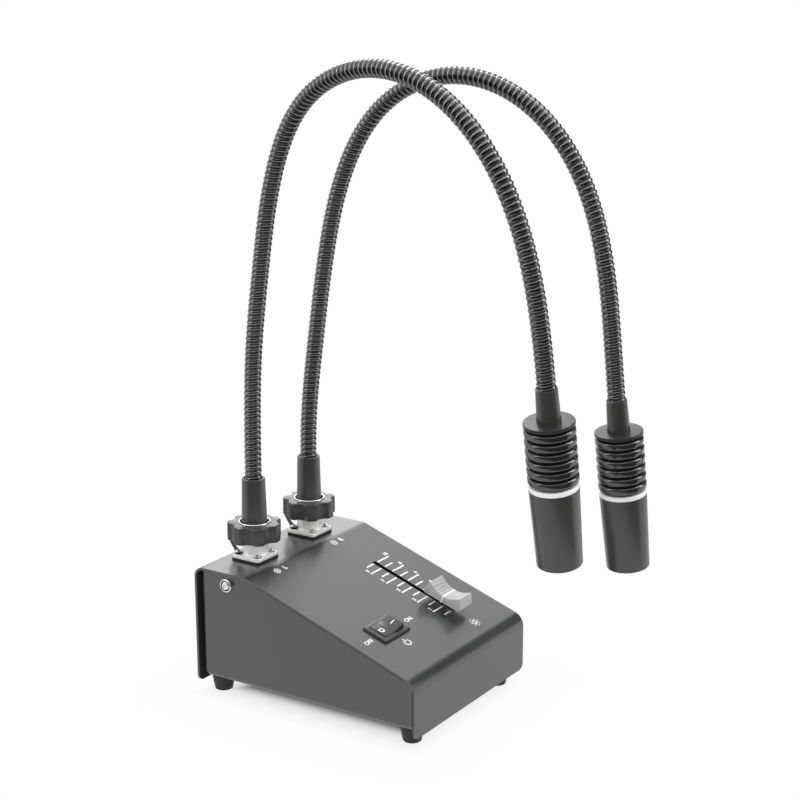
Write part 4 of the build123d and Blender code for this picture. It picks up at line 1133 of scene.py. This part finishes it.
# Camera, as fitted to the photo
camera_place = Vector((-0.6859, -0.4716, 0.3640))
yaw, pitch, roll = radians(56.83), radians(14.64), radians(-0.17)
forward = Vector((sin(yaw) * cos(pitch), cos(yaw) * cos(pitch), -sin(pitch)))
level = Vector((cos(yaw), -sin(yaw), 0))
upward = level.cross(forward)
across = level * cos(roll) + upward * sin(roll)
upright = upward * cos(roll) - level * sin(roll)
cam_data = bpy.data.cameras.new("camera")
cam_data.lens = 81.12
cam_data.sensor_width = 36.0
cam_data.sensor_fit = "HORIZONTAL"
cam_data.clip_start = 0.02
cam_data.clip_end = 50
cam = bpy.data.objects.new("camera", cam_data)
camera_turn = Matrix((across, upright, -forward)).transposed().to_4x4()
cam.matrix_world = move(camera_place) @ camera_turn
scene.collection.objects.link(cam)
scene.camera = cam


# World and floor: plain white to the camera and to mirrors, dimmer as a light
def white_for_camera(n, plain, white, share):
    """Mixes a plain shader with white for camera, glossy and transmission rays."""
    path = n.new("ShaderNodeLightPath").outputs
    most = path["Is Camera Ray"]
    for ray in ("Is Glossy Ray", "Is Transmission Ray"):
        most = n.calc("MAXIMUM", most, path[ray])
    mix = n.new("ShaderNodeMixShader", {"Fac": n.calc("MULTIPLY", most, share), 1: plain, 2: white})
    return mix.outputs[0]


white = (1, 1, 1, 1)
world = bpy.data.worlds.new("studio")
scene.world = world
world.use_nodes = True
n = Nodes(world.node_tree)
dim = n.fill(n.tree.nodes["Background"], {"Color": white, "Strength": 0.45})
bright = n.new("ShaderNodeBackground", {"Color": white, "Strength": 1.0})
seen = white_for_camera(n, dim.outputs[0], bright.outputs[0], 1.0)
n.fill(n.tree.nodes["World Output"], {"Surface": seen})

# The floor's own shade shows near the box alone, by the distance from its outline
floor_mat, n = new_material("floor_white")
n.fill(n.bsdf, {"Base Color": (*colour_of(0.45), 1), "Roughness": 0.9, "Specular IOR Level": 0.1})
box_half_size = (0.05, 0.0635, 0.0)
shade_from, shade_to = -0.03, 0.17
shade_stops = [(0.0, 0.0), (0.045, 0.01), (0.06, 0.18), (0.085, 0.6), (0.1, 0.76), (0.13, 0.875),
               (0.18, 0.965), (0.4, 1.0)]
where = n.vector("ABSOLUTE", n.new("ShaderNodeTexCoord").outputs["Object"])
past = n.vector("SUBTRACT", where, box_half_size)
outside = n.vector("LENGTH", n.vector("MAXIMUM", past, (0, 0, 0)), output="Value")
split = n.new("ShaderNodeSeparateXYZ", {0: past}).outputs
inside = n.calc("MINIMUM", n.calc("MAXIMUM", split["X"], split["Y"]), 0.0)
place = {"Value": n.calc("ADD", inside, outside), "From Min": shade_from, "From Max": shade_to}
share = n.ramp(n.new("ShaderNodeMapRange", place).outputs["Result"], shade_stops)
glow = n.new("ShaderNodeEmission")
seen = white_for_camera(n, n.bsdf.outputs[0], glow.outputs[0], share)
n.fill(n.tree.nodes["Material Output"], {"Surface": seen})


def stage_sheet(name, verts, faces, mat):
    mesh = bpy.data.meshes.new(name)
    mesh.from_pydata(verts, [], faces)
    mesh.materials.append(mat)
    obj = bpy.data.objects.new(name, mesh)
    scene.collection.objects.link(obj)
    return obj


floor_half = 6
corners = [(-floor_half, -floor_half, 0), (floor_half, -floor_half, 0), (floor_half, floor_half, 0),
           (-floor_half, floor_half, 0)]
stage_sheet("floor", corners, [[0, 1, 2, 3]], floor_mat)

# Studio flags and lamps, placed by their angle round the object. 0 degrees is the camera's side
camera_side, camera_right = Vector((-0.837, -0.547, 0)), Vector((0.547, -0.837, 0))


def round_object(degrees):
    return camera_side * cos(radians(degrees)) + camera_right * sin(radians(degrees))


flag_mat, n = new_material("flag_black")
n.fill(n.bsdf, {"Base Color": (*colour_of(0.02), 1), "Roughness": 0.9})


def flag_arc(name, a0, a1, z0, z1, radius=0.75, inner=0.75):
    """Black flag, seen only in reflections: a wall, or a floor piece where its inner radius is less."""
    steps = 24
    verts = []
    for k in range(steps + 1):
        d = round_object(a0 + (a1 - a0) * k / steps)
        verts += [(d.x * r, d.y * r, z) for r, z in ((inner, z0), (radius, z1))]
    faces = [[2 * k, 2 * k + 2, 2 * k + 3, 2 * k + 1] for k in range(steps)]
    obj = stage_sheet(name, verts, faces, flag_mat)
    for ray in ("camera", "diffuse", "transmission", "volume_scatter", "shadow"):
        setattr(obj, "visible_" + ray, False)


flag_arc("flag_front", -66, 78, -0.02, 0.55)
flag_arc("flag_floor", -62, 72, 0.002, 0.002, inner=0.315)
flag_arc("flag_side", 98, 142, 0.12, 0.72)


def around(degrees, elevation, distance, height):
    """Place at an angle round the object and an elevation, seen from a height on its axis."""
    e = radians(elevation)
    d = round_object(degrees) * (distance * cos(e))
    return (d.x, d.y, height + distance * sin(e))


def lamp(name, where, size, power, target, size_y=None, mirrored=True):
    data = bpy.data.lights.new(name, "AREA")
    data.energy = power
    data.size = size
    if size_y:
        data.shape = "RECTANGLE"
        data.size_y = size_y
    obj = bpy.data.objects.new(name, data)
    obj.location = where
    obj.rotation_euler = (Vector(target) - Vector(where)).to_track_quat("-Z", "Y").to_euler()
    scene.collection.objects.link(obj)
    obj.visible_glossy = mirrored


middle, low, arms = (0, 0, 0.15), (0, 0, 0.1), (0, -0.05, 0.3)
lamp("overhead", (0.0, 0.05, 1.5), 1.2, 4.0, middle)
lamp("key", (0.70, 0.66, 1.2), 0.6, 12.0, middle)
lamp("front_fill", around(-12, 22, 1.3, 0.15), 0.8, 5.5, middle, mirrored=False)
lamp("back_card", around(178, 14, 2.0, 0.1), 0.9, 3.9, low, 1.0)
lamp("slope_card", around(165, 33, 2.0, 0.1), 0.9, 0.65, low, 0.7)
lamp("right_strip", around(92, 30, 1.3, 0.3), 0.6, 9.0, arms, 1.3)
lamp("left_strip", around(-75, 30, 1.4, 0.3), 0.3, 4.0, arms, 1.2)

scene.view_settings.view_transform = "Standard"
